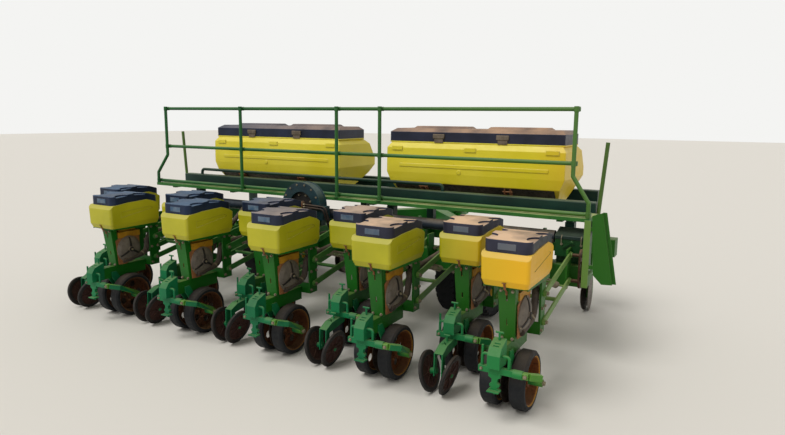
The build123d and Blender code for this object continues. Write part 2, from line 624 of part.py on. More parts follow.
def seed_hoppers():
    def shell(inset, low):
        sections = []
        # Height, half width, rear face, front face
        for z, half, rear, front in ((HOPPER_BOTTOM, TRAY_HALF, 20, HOPPER_LENGTH - 25),
                                     (HOPPER_WAIST, HOPPER_HALF - 6, 2, HOPPER_LENGTH - 10),
                                     (LID_TOP, HOPPER_HALF, -8, HOPPER_LENGTH)):
            face = RectangleRounded(2 * (half - inset), front - rear - 2 * inset, HOPPER_CORNER - inset)
            sections.append(Pos(0, (rear + front) / 2, max(z, low)) * face)
        return loft(sections, ruled=True)

    outer = shell(0, 0) & below_top(0)
    inner = shell(HOPPER_WALL, HOPPER_BOTTOM + HOPPER_WALL) & below_top(-HOPPER_WALL)
    mouth = block((MOUTH_MARGIN - LID_HALF, LID_HALF - MOUTH_MARGIN), (LID_REAR + MOUTH_MARGIN, LID_FRONT - 40),
                  (HOPPER_SHOULDER - 40, LID_TOP))
    # Wedge-shaped recess in each side wall
    low = HOPPER_WAIST + 60
    wedge = [(110, low), (110, low + 55), (440, low + 77), (470, low + 66), (470, low + 55)]
    sides = plate_yz(wedge, (100, ALL_X[1])) + plate_yz(wedge, (ALL_X[0], -100))
    hopper = outer - (sides - shell(RECESS, 0)) - inner - mouth
    # Hinge pin between two lugs ahead of the lid
    pin_y = LID_FRONT + HINGE_REACH
    for x in (-100, 100):
        lug = block((x - 6, x + 6), (pin_y - HINGE_REACH + 1, pin_y + 8), (HOPPER_SHOULDER - 10, HINGE_Z))
        lug += rod((x - 6, pin_y, HINGE_Z), (x + 6, pin_y, HINGE_Z), HINGE_REACH - 1)
        hopper += lug - below_top(-2)
    hopper += rod((-100, pin_y, HINGE_Z), (100, pin_y, HINGE_Z), HINGE_PIN)
    save("seed_hoppers", at(ROWS, [hopper]))


def seed_lids():
    middle = (LID_REAR + LID_FRONT) / 2
    base = HOPPER_SHOULDER - 67

    def crown(drop):
        """Everything below the lid's top seen from the side."""
        side = [(LID_REAR - 30, base - 100), (LID_REAR - 30, LID_TOP - 17 - drop), (250, LID_TOP - drop),
                (420, LID_TOP - 10 - drop), (LID_FRONT + 52, LID_TOP - 62 - drop), (LID_FRONT + 52, base - 100)]
        return plate_yz(side, ALL_X)

    def cap(inset):
        plan = RectangleRounded(2 * (LID_HALF - inset), LID_FRONT - LID_REAR - 2 * inset, LID_CORNER - inset)
        body = extrude(Pos(0, middle, base) * plan, 300) & crown(inset)
        # Dips at the sides leave the raised middle of the lid
        floor = crown(DIP_DEPTH + inset)
        for x in (-LID_HALF, LID_HALF):
            for y in (LID_REAR + 100, LID_REAR + 300):
                body -= Pos(x, y, LID_TOP) * Cylinder(DIP_RADIUS + inset, 200) - floor
        return body

    lid = cap(0) - cap(LID_WALL)
    lid += block((-PAD_HALF, PAD_HALF), (LID_REAR - PAD_DEPTH, LID_REAR + 2), (HOPPER_SHOULDER + 58, HOPPER_SHOULDER + 98))
    lid -= below_top(SEAT)
    # Two knuckles round the hinge pin
    pin_y = LID_FRONT + HINGE_REACH
    bore = HINGE_PIN + HINGE_CLEAR
    for x in (-65, 65):
        lid += rod((x - 18, pin_y, HINGE_Z), (x + 18, pin_y, HINGE_Z), KNUCKLE)
        lid += block((x - 18, x + 18), (LID_FRONT - 3, pin_y), (HINGE_Z - 3, HINGE_Z + KNUCKLE))
    lid -= rod((-LID_HALF, pin_y, HINGE_Z), (LID_HALF, pin_y, HINGE_Z), bore)
    for number, (x, shift) in enumerate(ROWS, 1):
        save(f"seed_lid_{number:02d}", [Pos(x, shift, 0) * lid])


# Seed meters beside the posts, their hoses, the vacuum manifold and the fan
METER_SIDE = POST_WIDTH[0] / 2 + SEAT
HOSE_X = METER_SIDE + 15


def seed_meters():
    rear, front = METER_Y - METER_RADIUS, METER_Y + METER_RADIUS
    dome_x = METER_SIDE + 6
    # Back plate, its lower rear corner square and clear of the round dome
    chute_z = METER_Z + METER_RADIUS - 12
    plate = plate_yz([(rear - 8, METER_Z + 100), (rear + 12, METER_Z - METER_RADIUS - 8), (METER_Y - 35, METER_Z - METER_RADIUS - 15),
                      (front - 20, METER_Z - 90), (front, METER_Z), (front, chute_z - SEAT), (rear + 25, chute_z - SEAT)],
                     (METER_SIDE, dome_x))
    # Dome: x outwards, radius
    section = [(dome_x, 0), (dome_x, METER_RADIUS), (dome_x + 8, METER_RADIUS), (dome_x + 24, METER_RADIUS - 28),
               (dome_x + 34, METER_RADIUS - 70), (dome_x + 36, 30), (dome_x + 44, 26), (dome_x + 44, 0)]
    dome = Pos(0, METER_Y, METER_Z) * turned(section)
    start, end = hose_start()
    meter = plate + dome - rod(start, end, HOSE_RADIUS + SEAT)
    chute = block((-45, dome_x), (rear + 25, front + 10), (chute_z, chute_z + 56))
    chute += block((-40, 40), (rear + 60, front - 25), (chute_z + 56, TRAY_Z - SEAT))
    save("seed_meters", at(ROWS, [meter, chute]))


def hose_start():
    """First straight run of a meter hose, along the lower edge of the dome."""
    low = METER_Z - METER_RADIUS
    return (HOSE_X, METER_Y - 75, low + 26), (HOSE_X, METER_Y + 130, low + 50)


def vacuum():
    pipe_y, pipe_z = REAR_BAR_Y + BAR_DEPTH / 2, MANIFOLD_Z
    pipe = rod((-MANIFOLD_HALF, pipe_y, pipe_z), (MANIFOLD_HALF, pipe_y, pipe_z), MANIFOLD_RADIUS)
    stands = [block((x - 25, x + 25), (pipe_y - 25, pipe_y + 25), (BAR_TOP + SEAT, pipe_z - MANIFOLD_RADIUS - SEAT))
              for x in (-4 * ROW_SPACING, -2 * ROW_SPACING, 0, 2 * ROW_SPACING, 4 * ROW_SPACING)]
    save("vacuum_manifold", [pipe] + stands)

    hoses = []
    knee = (REAR_BAR_Y - 150, BAR_TOP + 40)
    reach = Vector(0, pipe_y - knee[0], pipe_z - knee[1])
    tip = Vector(0, pipe_y, pipe_z) - reach.normalized() * (MANIFOLD_RADIUS + SEAT)
    start, second = hose_start()
    for x, shift in ROWS:
        end_x = min(x + HOSE_X, MANIFOLD_HALF - HOSE_RADIUS)
        points = [(x + HOSE_X, start[1] + shift, start[2]), (x + HOSE_X, second[1] + shift, second[2]),
                  (x + HOSE_X, second[1] + 65 + shift, second[2] + 28), (x + HOSE_X, HOSE_RISE[0] + shift, HOSE_RISE[1]),
                  (end_x, *knee), (end_x, tip.Y, tip.Z)]
        hoses.append(bent_rod(points, 60, HOSE_RADIUS))
    # Oil hoses from the fan's motor down to the toolbar
    motor_y = FAN_Y[0] - 17
    for drop in (0, 24):
        start_x = FAN_X + MOTOR_RADIUS + SEAT
        side_x = 88 - drop
        points = [(start_x, motor_y, FAN_Z + 14 - drop), (side_x - 35, motor_y, FAN_Z + 5 - drop),
                  (side_x, motor_y + 30, FAN_Z - 160), (side_x, REAR_BAR_Y - SEAT - 9, BAR_TOP - 40)]
        hoses.append(bent_rod(points, 45, 9))
    save("meter_hoses", hoses)

    scroll = rod((FAN_X, FAN_Y[0], FAN_Z), (FAN_X, FAN_Y[1], FAN_Z), FAN_RADIUS)
    for y in (FAN_Y[0], FAN_Y[1] - FAN_RIM):
        scroll += rod((FAN_X, y, FAN_Z), (FAN_X, y + FAN_RIM, FAN_Z), FAN_RADIUS + FAN_RIM)
    duct_x = FAN_X + FAN_RADIUS + DUCT_OUT
    scroll += block((duct_x - DUCT_WIDTH, duct_x), FAN_Y, (FAN_BASE, FAN_Z))
    wide = FAN_RADIUS + FAN_RIM + 1
    scroll -= block((FAN_X - wide, FAN_X + wide), (FAN_Y[0] - 1, FAN_Y[1] + 1), (FAN_Z - wide, FAN_BASE))
    scroll -= rod((FAN_X, FAN_Y[0] - 1, FAN_Z), (FAN_X, FAN_Y[0] + 30, FAN_Z), FAN_EYE)
    scroll += rod((FAN_X, FAN_Y[0] - 34, FAN_Z), (FAN_X, FAN_Y[0] + 40, FAN_Z), MOTOR_RADIUS)
    scroll += block((FAN_X - 95, FAN_X + 10), (FAN_Y[1] - 8, REAR_BAR_Y - SEAT), (BAR_TOP - 80, FAN_BASE + 30))
    save("vacuum_fan", [scroll])


# Fertiliser hoppers with their lids and the pans under them
def fertiliser():
    # Height, rear face, front face, how far the ends stand in
    form = [(FERT_BASE, *FERT_TIP, 100), (FERT_WAIST, *FERT_SLOPE, 40), (FERT_BELLY[0], FERT_REAR, FERT_FRONT, 0),
            (FERT_BELLY[1], FERT_REAR, FERT_FRONT, 0), (FERT_RIM - 65, FERT_REAR + 5, FERT_FRONT - 120, 0),
            (FERT_RIM, FERT_REAR + 50, FERT_FRONT - 225, 45)]

    def body(low, high, table, inset):
        sections = []
        for z, rear, front, end in table:
            face = Rectangle(high - low - 2 * (end + inset), front - rear - 2 * inset)
            sections.append(Pos((low + high) / 2, (rear + front) / 2, z) * face)
        return loft(sections, ruled=True)

    hollow = [(FERT_BASE + FERT_WALL, *form[0][1:])] + form[1:-1] + [(FERT_RIM + 1, *form[-1][1:])]
    hoppers = []
    pans = []
    lid_y = FERT_LID_Y
    for s, name in ((-1, "left"), (1, "right")):
        low, high = sorted((s * FERT_INNER, s * FERT_OUTER))
        hopper = body(low, high, form, 0)
        # Lip that carries the lid, raised band and three pads on the rear face
        hopper += block((low + LID_END - 2, high - LID_END + 2), (lid_y[0] - 2, lid_y[1] - 1), (FERT_RIM - 12, FERT_RIM))
        hopper += block((low + 150, high - 150), (FERT_REAR - 5, FERT_REAR + 3), (FERT_BELLY[1] - 20, FERT_BELLY[1] + 12))
        for x in (low + 60, (low + high) / 2 - 60, high - 180):
            hopper += block((x, x + 120), (FERT_REAR - 4, FERT_REAR + 8), (FERT_RIM - 90, FERT_RIM - 50))
        # Hinge pins, each in a pair of lugs on the front slope
        pin_y, pin_z = lid_y[1] + FERT_HINGE[0], FERT_RIM + FERT_HINGE[1]
        hinges = (low + 260, (low + high) / 2, high - 260)
        solid = body(low, high, form, 0)
        for x in hinges:
            for side in (-70, 70):
                lug = block((x + side - 6, x + side + 6), (lid_y[1] + 2, pin_y + 6), (FERT_RIM - 30, pin_z))
                lug += rod((x + side - 6, pin_y, pin_z), (x + side + 6, pin_y, pin_z), FERT_LUG)
                hopper += lug - solid
            hopper += rod((x - 70, pin_y, pin_z), (x + 70, pin_y, pin_z), HINGE_PIN)
        hoppers.append(hopper - body(low, high, hollow, FERT_WALL))
        # Pan: three sheets under the hopper's tip, with outlets below
        foot = FERT_BASE - SEAT
        top, under = FERT_WAIST - 5, foot - PAN_WALL
        rear, front = FERT_TIP[0] - PAN_REACH, FERT_TIP[1] + PAN_REACH
        rear_top, front_top = FERT_SLOPE[0] - PAN_GAP, FERT_SLOPE[1]
        sheets = [[(rear_top - PAN_SKIN, top), (rear, under), (rear + PAN_SKIN, foot), (rear_top, top)],
                  [(rear + SEAT, under), (front - SEAT, under), (front - PAN_SKIN - SEAT, foot), (rear + PAN_SKIN + SEAT, foot)],
                  [(front, under), (front_top + PAN_SKIN, top), (front_top, top), (front - PAN_SKIN, foot)]]
        pans += [plate_yz(sheet, (low + PAN_END, high - PAN_END)) for sheet in sheets]
        outlet_y = FERT_TIP[0] + 40
        for i in range(4):
            x = low + (high - low) * (i + 0.7) / 4.4
            pans.append(block((x - OUTLET / 2, x + OUTLET / 2), (outlet_y, outlet_y + OUTLET),
                              (foot - PAN_WALL - SEAT - OUTLET, foot - PAN_WALL - SEAT)))
        # Lid: thin shell with a gabled top and two long humps
        rim = FERT_RIM + SEAT

        def cap(inset):
            sections = []
            # Height over the rim, how far in at the ends, rear and front edge
            for z, end, rear, front in ((-inset, LID_END, *lid_y), (FERT_LID_SKIRT - inset, LID_END, *lid_y),
                                        (FERT_LID_HEIGHT - inset, LID_END + 40, lid_y[0] + 70, lid_y[1] - 50)):
                face = Rectangle(high - low - 2 * (end + inset), front - rear - 2 * inset)
                sections.append(Pos((low + high) / 2, (rear + front) / 2, rim + z) * face)
            return loft(sections, ruled=True)

        lid = cap(0)
        top = rim + FERT_LID_HEIGHT
        for x in (low + (high - low) * 0.28, low + (high - low) * 0.72):
            hump = [Pos(x, lid_y[0] + 260, top - 2) * Rectangle(620, 220), Pos(x, lid_y[0] + 260, top + 22) * Rectangle(560, 160)]
            lid += loft(hump)
        lid -= cap(LID_WALL)
        for x in hinges:
            lid += rod((x - 35, pin_y, pin_z), (x + 35, pin_y, pin_z), KNUCKLE)
            lid += block((x - 35, x + 35), (lid_y[1] - 3, pin_y), (pin_z - 3, pin_z + KNUCKLE))
            lid -= rod((x - 36, pin_y, pin_z), (x + 36, pin_y, pin_z), HINGE_PIN + HINGE_CLEAR)
        save(f"fertiliser_lid_{name}", [lid])
    save("fertiliser_hoppers", hoppers)
    save("fertiliser_pans", pans)


# Stand under the fertiliser hoppers, with a bent tube on its rear beam
def hopper_stand():
    pieces = []
    sill_z = (STAND_Z[0] - SILL_HEIGHT, STAND_Z[0] - SEAT)
    end_x = BAR_HALF - STAND_END
    for y, half in zip(STAND_Y, (end_x, STAND_FRONT_HALF)):
        pieces.append(tube_x((-half, half), (y, y + STAND_BEAM), STAND_Z))
    for x in BEAM_X:
        pieces.append(tube_y((x - 30, x + 30), (STAND_Y[0], STAND_Y[1] + STAND_BEAM), sill_z, 6))
        for y in STAND_Y:
            y0 = y + (STAND_BEAM - LEG) / 2
            pieces.append(block((x - LEG / 2, x + LEG / 2), (y0, y0 + LEG), (BAR_TOP + SEAT, sill_z[0] - SEAT)))
    y = STAND_Y[0] + STAND_BEAM / 2
    foot = STAND_Z[1] + SEAT
    route = [(-2216, y, foot), (-2216, y, foot + 60), (1010, y, foot + 60), (1010, y, foot)]
    pieces.append(bent_rod(route, 40, RAIL_RADIUS))
    # An upright leans outwards from each end of the rear beam
    for s in (-1, 1):
        x = s * (end_x + RAIL_RADIUS + SEAT)
        pieces.append(rod((x, y, STAND_Z[0] + 10), (x + s * UPRIGHT_LEAN, y, UPRIGHT_TOP), RAIL_RADIUS))
    save("hopper_stand", pieces)


# Catwalk: folded sheet with a row of slots, on brackets
def catwalk():
    plank = block((-WALK_HALF, WALK_HALF), WALK_Y, WALK_Z)
    plank -= block((WALK_SHEET - WALK_HALF, WALK_HALF - WALK_SHEET), (WALK_Y[0] + WALK_SHEET, WALK_Y[1] - WALK_SHEET),
                   (WALK_Z[0] - 1, WALK_Z[1] - WALK_SHEET))
    middle = (WALK_Y[0] + WALK_Y[1]) / 2 + 15
    count = int((2 * WALK_HALF - 120) / SLOT_PITCH)
    slots = []
    for i in range(count):
        x = (i - (count - 1) / 2) * SLOT_PITCH
        slots.append(block((x - SLOT_SIZE[0] / 2, x + SLOT_SIZE[0] / 2), (middle - SLOT_SIZE[1] / 2, middle + SLOT_SIZE[1] / 2),
                           (WALK_Z[1] - 20, WALK_Z[1] + 10)))
    plank = plank.cut(*slots)
    brackets = [block((x - 25, x + 25), (WALK_Y[0] + 40, STAND_Y[0] - SEAT), (STAND_Z[0], WALK_Z[0] - SEAT))
                for x in (BEAM_X[0], 3 * BEAM_X[1], BEAM_X[1], BEAM_X[2], 3 * BEAM_X[2], BEAM_X[3])]
    save("catwalk", [plank] + brackets)


# Handrail: straight posts, two flared end posts and three rails
def handrail():
    posts = [rod((x, RAIL_Y, WALK_Z[1] + SEAT), (x, RAIL_Y, RAIL_Z[2] + 20), RAIL_RADIUS) for x in POST_X]
    for x in END_X:
        s = 1 if x > 0 else -1
        path = Polyline((s * END_FOOT, RAIL_Y, WALK_Z[1] + SEAT), (s * END_FOOT, RAIL_Y, FLARE_Z[0]),
                        (x, RAIL_Y, FLARE_Z[1]), (x, RAIL_Y, RAIL_Z[2] + 20))
        plane = Plane(origin=path @ 0, z_dir=path % 0)
        posts.append(sweep(plane * Circle(RAIL_RADIUS), path, transition=Transition.ROUND))
    rail_y = RAIL_Y + 2 * RAIL_RADIUS + SEAT
    rails = [rod((END_X[0] - 20, rail_y, z), (END_X[1] + 20, rail_y, z), RAIL_RADIUS) for z in RAIL_Z[1:]]
    rails.append(rod((-END_FOOT, rail_y, RAIL_Z[0]), (END_FOOT, rail_y, RAIL_Z[0]), RAIL_RADIUS))
    save("handrail", posts + rails)


# Transport wheels on their legs
def transport():
    legs = []
    half = ROAD_LEG / 2
    face = half + ROAD_GAP + ROAD_WIDTH / 2 - ROAD_HUB / 2 - SEAT
    reach = half + ROAD_GAP + ROAD_WIDTH - 60
    side, hub, web = ROAD_WIDTH / 2, ROAD_HUB / 2, ROAD_WEB / 2
    right = [(hub, ROAD_BORE), (hub, 70), (web, 70), (web, ROAD_RIM - 15), (side - 14, ROAD_RIM), (side, ROAD_RIM + 18),
             (side, ROAD_RADIUS - ROAD_SHOULDER), (side - ROAD_SHOULDER, ROAD_RADIUS)]
    wheel = turned(right + [(-x, r) for x, r in right[::-1]])
    low = BAR_BOTTOM + 40
    outline = [(REAR_BAR_FRONT + SEAT, low), (REAR_BAR_FRONT + SEAT, BAR_TOP - 10), (REAR_BAR_FRONT + 110, BAR_TOP - 10),
               (ROAD_Y + 50, ROAD_RADIUS + 40), (ROAD_Y + 50, ROAD_RADIUS - 50), (ROAD_Y - 50, ROAD_RADIUS - 50),
               (REAR_BAR_FRONT + 50, low)]
    for s, name in ((-1, "left"), (1, "right")):
        x = s * ROAD_X
        leg = plate_yz(outline, (x - half, x + half))
        leg += rod((x - reach, ROAD_Y, ROAD_RADIUS), (x + reach, ROAD_Y, ROAD_RADIUS), ROAD_BORE - 0.5)
        leg += rod((x - face, ROAD_Y, ROAD_RADIUS), (x + face, ROAD_Y, ROAD_RADIUS), 55)
        legs.append(leg)
        pair = [Pos(x + t * (half + ROAD_GAP + side), ROAD_Y, ROAD_RADIUS) * wheel for t in (-1, 1)]
        save(f"transport_wheels_{name}", pair)
    save("transport_legs", legs)


# Fertiliser openers on the front toolbar, one for each row
def openers():
    low, top = BAR_BOTTOM - 40, BAR_TOP + 20
    knee = low - 140
    shank = plate_yz([(BAR_FRONT + SEAT, low), (BAR_FRONT + SEAT, top), (BAR_FRONT + 50, top), (BAR_FRONT + 50, knee),
                      (COULTER_Y + 40, SHANK_FOOT), (COULTER_Y - 20, SHANK_FOOT), (BAR_FRONT - 10, knee),
                      (BAR_FRONT - 10, low)], (-COULTER_SHANK / 2, COULTER_SHANK / 2))
    reach = COULTER_OFFSET - COULTER_SHANK / 2
    pieces = []
    for x, _ in ROWS:
        pieces.append(Pos(x, 0, 0) * shank)
        for s in (-1, 1):
            pieces.append(Pos(x + s * COULTER_OFFSET, COULTER_Y, DISC_Z) * opener_disc(s, reach))
    save("fertiliser_openers", pieces)


# Drive box with its chain, and the folded guard, at the right-hand end
def right_end():
    low = BAR_TOP + SEAT
    top = BAR_TOP + DRIVE_HEIGHT
    box_x = (MANIFOLD_HALF + DRIVE_GAP, MANIFOLD_HALF + DRIVE_GAP + DRIVE_WIDTH)
    inner_y, under = REAR_BAR_Y + 60, low + DRIVE_FOOT
    outline = [(inner_y, low), (inner_y, under), (REAR_BAR_Y, under), (REAR_BAR_Y, top - 50), (REAR_BAR_FRONT, top),
               (REAR_BAR_FRONT, low)]
    pieces = [plate_yz(outline, box_x)]
    # Chain round two sprockets, whose shafts stand out from the arm pivots of the last row
    row_x, shift = ROWS[-1]
    pivot_y = REAR_BAR_Y - BRACKET_DEPTH / 2
    rise = (pivot_y - ARM_PIVOT_Y - shift) * ARM_RISE
    shaft_x = row_x + HEAD_HALF + ARM_THICK + ARM_PIN + 2 * SEAT
    chain_x = BAR_HALF - 45
    middle = (pivot_y, sum(ARM_PIVOT_Z) / 2 + rise)
    half = (ARM_PIVOT_Z[1] - ARM_PIVOT_Z[0]) / 2
    loop = SlotCenterToCenter(2 * half, 110, rotation=90) - SlotCenterToCenter(2 * half, 92, rotation=90)
    pieces.append(extrude(Plane(origin=(chain_x, *middle), x_dir=(0, 1, 0), z_dir=(1, 0, 0)) * loop, 16))
    for z in (middle[1] - half, middle[1] + half):
        sprocket = rod((chain_x + 3, middle[0], z), (chain_x + 13, middle[0], z), 46 - SEAT)
        pieces.append(sprocket + rod((shaft_x, middle[0], z), (chain_x + 20, middle[0], z), 14))
    save("drive_box", pieces)

    near = BAR_HALF - 10
    guard = block((near, near + 50), (GUARD_Y, GUARD_Y + 6), (645, 1180))
    # Sheet with a raised edge: its outer border stands GUARD_FOLD further forward, joined by a narrow web
    edge = GUARD_TIP - GUARD_BORDER
    sheet = [(near + 55, GUARD_TOP - 29), (edge - GUARD_SLANT, GUARD_TOP), (edge, GUARD_FOOT + 5),
             (GUARD_TIP - 104, GUARD_FOOT), (near + 85, GUARD_FOOT + 67)]
    guard += plate_xz(sheet, (GUARD_Y, GUARD_Y + 4))
    for reach, depth in ((4, (0, GUARD_FOLD)), (GUARD_BORDER, (GUARD_FOLD - 4, GUARD_FOLD))):
        strip = [(edge - GUARD_SLANT, GUARD_TOP), (edge + reach - GUARD_SLANT, GUARD_TOP), (edge + reach, GUARD_FOOT + 5),
                 (edge, GUARD_FOOT + 5)]
        guard += plate_xz(strip, (GUARD_Y + depth[0], GUARD_Y + depth[1]))
    for z in (800, 1100):
        guard += block((near + 10, near + 120), (GUARD_Y + 2, GUARD_Y + 12), (z, z + 30))
    guard += block((BAR_HALF + SEAT, BAR_HALF + 20), (GUARD_Y + 2, REAR_BAR_FRONT - 20), (660, 720))
    save("side_guard", [guard])


toolbars()
drawbar()
row_units()
parallel_arms()
depth_bars()
rear_brackets()
opener_discs()
wheels()
seed_hoppers()
seed_lids()
seed_meters()
vacuum()
fertiliser()
hopper_stand()
catwalk()
handrail()
transport()
openers()
right_end()
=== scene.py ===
# Row crop planter, dressed: put together in the order of the real one, from the frame to the hoppers.
# Metres. X points right as seen from behind, Y points forward, Z points up.
import json
from math import cos, pi, radians, sin

import bmesh
import bpy
from mathutils import Matrix, Vector

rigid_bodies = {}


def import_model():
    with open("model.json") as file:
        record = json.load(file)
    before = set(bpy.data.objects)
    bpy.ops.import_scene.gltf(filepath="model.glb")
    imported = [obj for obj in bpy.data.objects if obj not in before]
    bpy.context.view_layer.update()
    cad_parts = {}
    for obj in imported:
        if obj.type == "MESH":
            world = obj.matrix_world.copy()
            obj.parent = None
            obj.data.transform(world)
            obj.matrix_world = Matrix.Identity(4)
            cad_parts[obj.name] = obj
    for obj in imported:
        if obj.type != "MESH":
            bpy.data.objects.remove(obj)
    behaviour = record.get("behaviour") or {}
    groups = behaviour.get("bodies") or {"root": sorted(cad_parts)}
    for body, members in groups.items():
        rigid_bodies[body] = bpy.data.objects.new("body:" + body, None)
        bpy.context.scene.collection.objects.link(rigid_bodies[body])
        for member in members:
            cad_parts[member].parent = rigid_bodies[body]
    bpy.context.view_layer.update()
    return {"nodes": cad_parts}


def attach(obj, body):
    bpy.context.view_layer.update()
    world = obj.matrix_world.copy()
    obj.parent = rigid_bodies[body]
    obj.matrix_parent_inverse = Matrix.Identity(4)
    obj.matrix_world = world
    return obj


for leftover in list(bpy.data.objects):
    bpy.data.objects.remove(leftover)
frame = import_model()
nodes = frame["nodes"]


# Camera. It stands behind the planter and off its right-hand end, a little above eye height, where the
# photograph was taken, and looks slightly down over the row units.
LENS_MM = 28.11
EYE = (3.349, -5.978, 1.951)
YAW = radians(29.197)          # to the left of straight ahead
DOWN = radians(9.261)          # below level
LEAN = radians(0.517)          # about the line of sight

lens = bpy.data.cameras.new("camera")
lens.lens = LENS_MM
lens.sensor_width = 36
camera = bpy.data.objects.new("camera", lens)
turn = Matrix.Rotation(YAW, 4, "Z") @ Matrix.Rotation(pi / 2 - DOWN, 4, "X")
camera.matrix_world = Matrix.Translation(EYE) @ turn @ Matrix.Rotation(LEAN, 4, "Z")
bpy.context.collection.objects.link(camera)
bpy.context.scene.camera = camera


# Studio. A plain pale floor under a pale sky, and one broad soft lamp high behind the camera's left
# shoulder. The sky shows white to the camera and in reflections, and lights the parts evenly.
def linear(code):
    """Linear colour from an sRGB hex code."""
    parts = [int(code[i:i + 2], 16) / 255 for i in (1, 3, 5)]
    return [c / 12.92 if c <= 0.04045 else ((c + 0.055) / 1.055) ** 2.4 for c in parts] + [1]


def add(tree, kind, settings=None, links=None):
    """Adds a node, sets its fields and sockets, and joins its inputs to the given outputs."""
    made = tree.nodes.new(kind)
    for key, value in (settings or {}).items():
        if isinstance(key, int) or key in made.inputs:
            made.inputs[key].default_value = value
        else:
            setattr(made, key, value)
    for key, source in (links or {}).items():
        tree.links.new(source, made.inputs[key])
    return made


def ramp(tree, value, start, full, low=0.0, high=1.0):
    """The value stretched so that start gives low and full gives high."""
    settings = {"From Min": start, "From Max": full, "To Min": low, "To Max": high}
    return add(tree, "ShaderNodeMapRange", settings, {"Value": value}).outputs[0]


def reckon(tree, operation, first, second):
    """Result of an operation on an output and on another output or a number."""
    fixed, joined = {"operation": operation}, {0: first}
    if isinstance(second, float):
        fixed[1] = second
    else:
        joined[1] = second
    return add(tree, "ShaderNodeMath", fixed, joined).outputs[0]


def link(name, mesh):
    """A new object for a mesh that is finished, in the scene at the origin."""
    data = bpy.data.meshes.new(name)
    mesh.to_mesh(data)
    mesh.free()
    obj = bpy.data.objects.new(name, data)
    bpy.context.collection.objects.link(obj)
    return obj


FLOOR_HALF = 60
LAMP_POWER = 1.7
LAMP_WIDTH = radians(30)
LAMP_FROM = Vector((-0.25, -0.5, 0.85))
SKY_POWER = 0.62

ground = bmesh.new()
square = ((-1, -1), (1, -1), (1, 1), (-1, 1))
ground.faces.new([ground.verts.new((x * FLOOR_HALF, y * FLOOR_HALF, 0)) for x, y in square])
floor = link("floor", ground)
# Smooth pale concrete: flat, even and without shine, so that shadows read softly
concrete = bpy.data.materials.new("smooth_pale_concrete")
concrete.use_nodes = True
concrete.node_tree.nodes["Principled BSDF"].inputs["Base Color"].default_value = linear("#DCD7CE")
concrete.node_tree.nodes["Principled BSDF"].inputs["Roughness"].default_value = 0.9
floor.data.materials.append(concrete)

world = bpy.data.worlds.new("studio")
bpy.context.scene.world = world
world.use_nodes = True
sky = world.node_tree
rays = add(sky, "ShaderNodeLightPath").outputs
seen = reckon(sky, "MAXIMUM", rays["Is Camera Ray"], rays["Is Glossy Ray"])
seen = reckon(sky, "MAXIMUM", seen, rays["Is Transmission Ray"])
sky.nodes["Background"].inputs["Color"].default_value = linear("#F4F4F2")
sky.links.new(ramp(sky, seen, 0.0, 1.0, SKY_POWER), sky.nodes["Background"].inputs["Strength"])

lamp = bpy.data.lights.new("soft_lamp", "SUN")
lamp.energy = LAMP_POWER
lamp.angle = LAMP_WIDTH
soft = bpy.data.objects.new("soft_lamp", lamp)
soft.rotation_euler = LAMP_FROM.to_track_quat("Z", "Y").to_euler()
bpy.context.collection.objects.link(soft)
bpy.context.scene.view_settings.view_transform = "Standard"


# Toolbars and frame beams. Rolled square steel tube, welded and bolted, sprayed with green enamel
# that the sun has faded in patches and the field has left dusty on top.
HALF_TONE = (0.35, 0.65)       # the band of a cloudy pattern in which most of it lies


def blend(tree, share, under, over):
    """The first colour giving way to the second as the share rises; each is a hex code or an output."""
    fixed, joined = {"data_type": "RGBA"}, {0: share}
    for socket, colour in ((6, under), (7, over)):
        if isinstance(colour, str):
            fixed[socket] = linear(colour)
        else:
            joined[socket] = colour
    return add(tree, "ShaderNodeMix", fixed, joined).outputs[2]


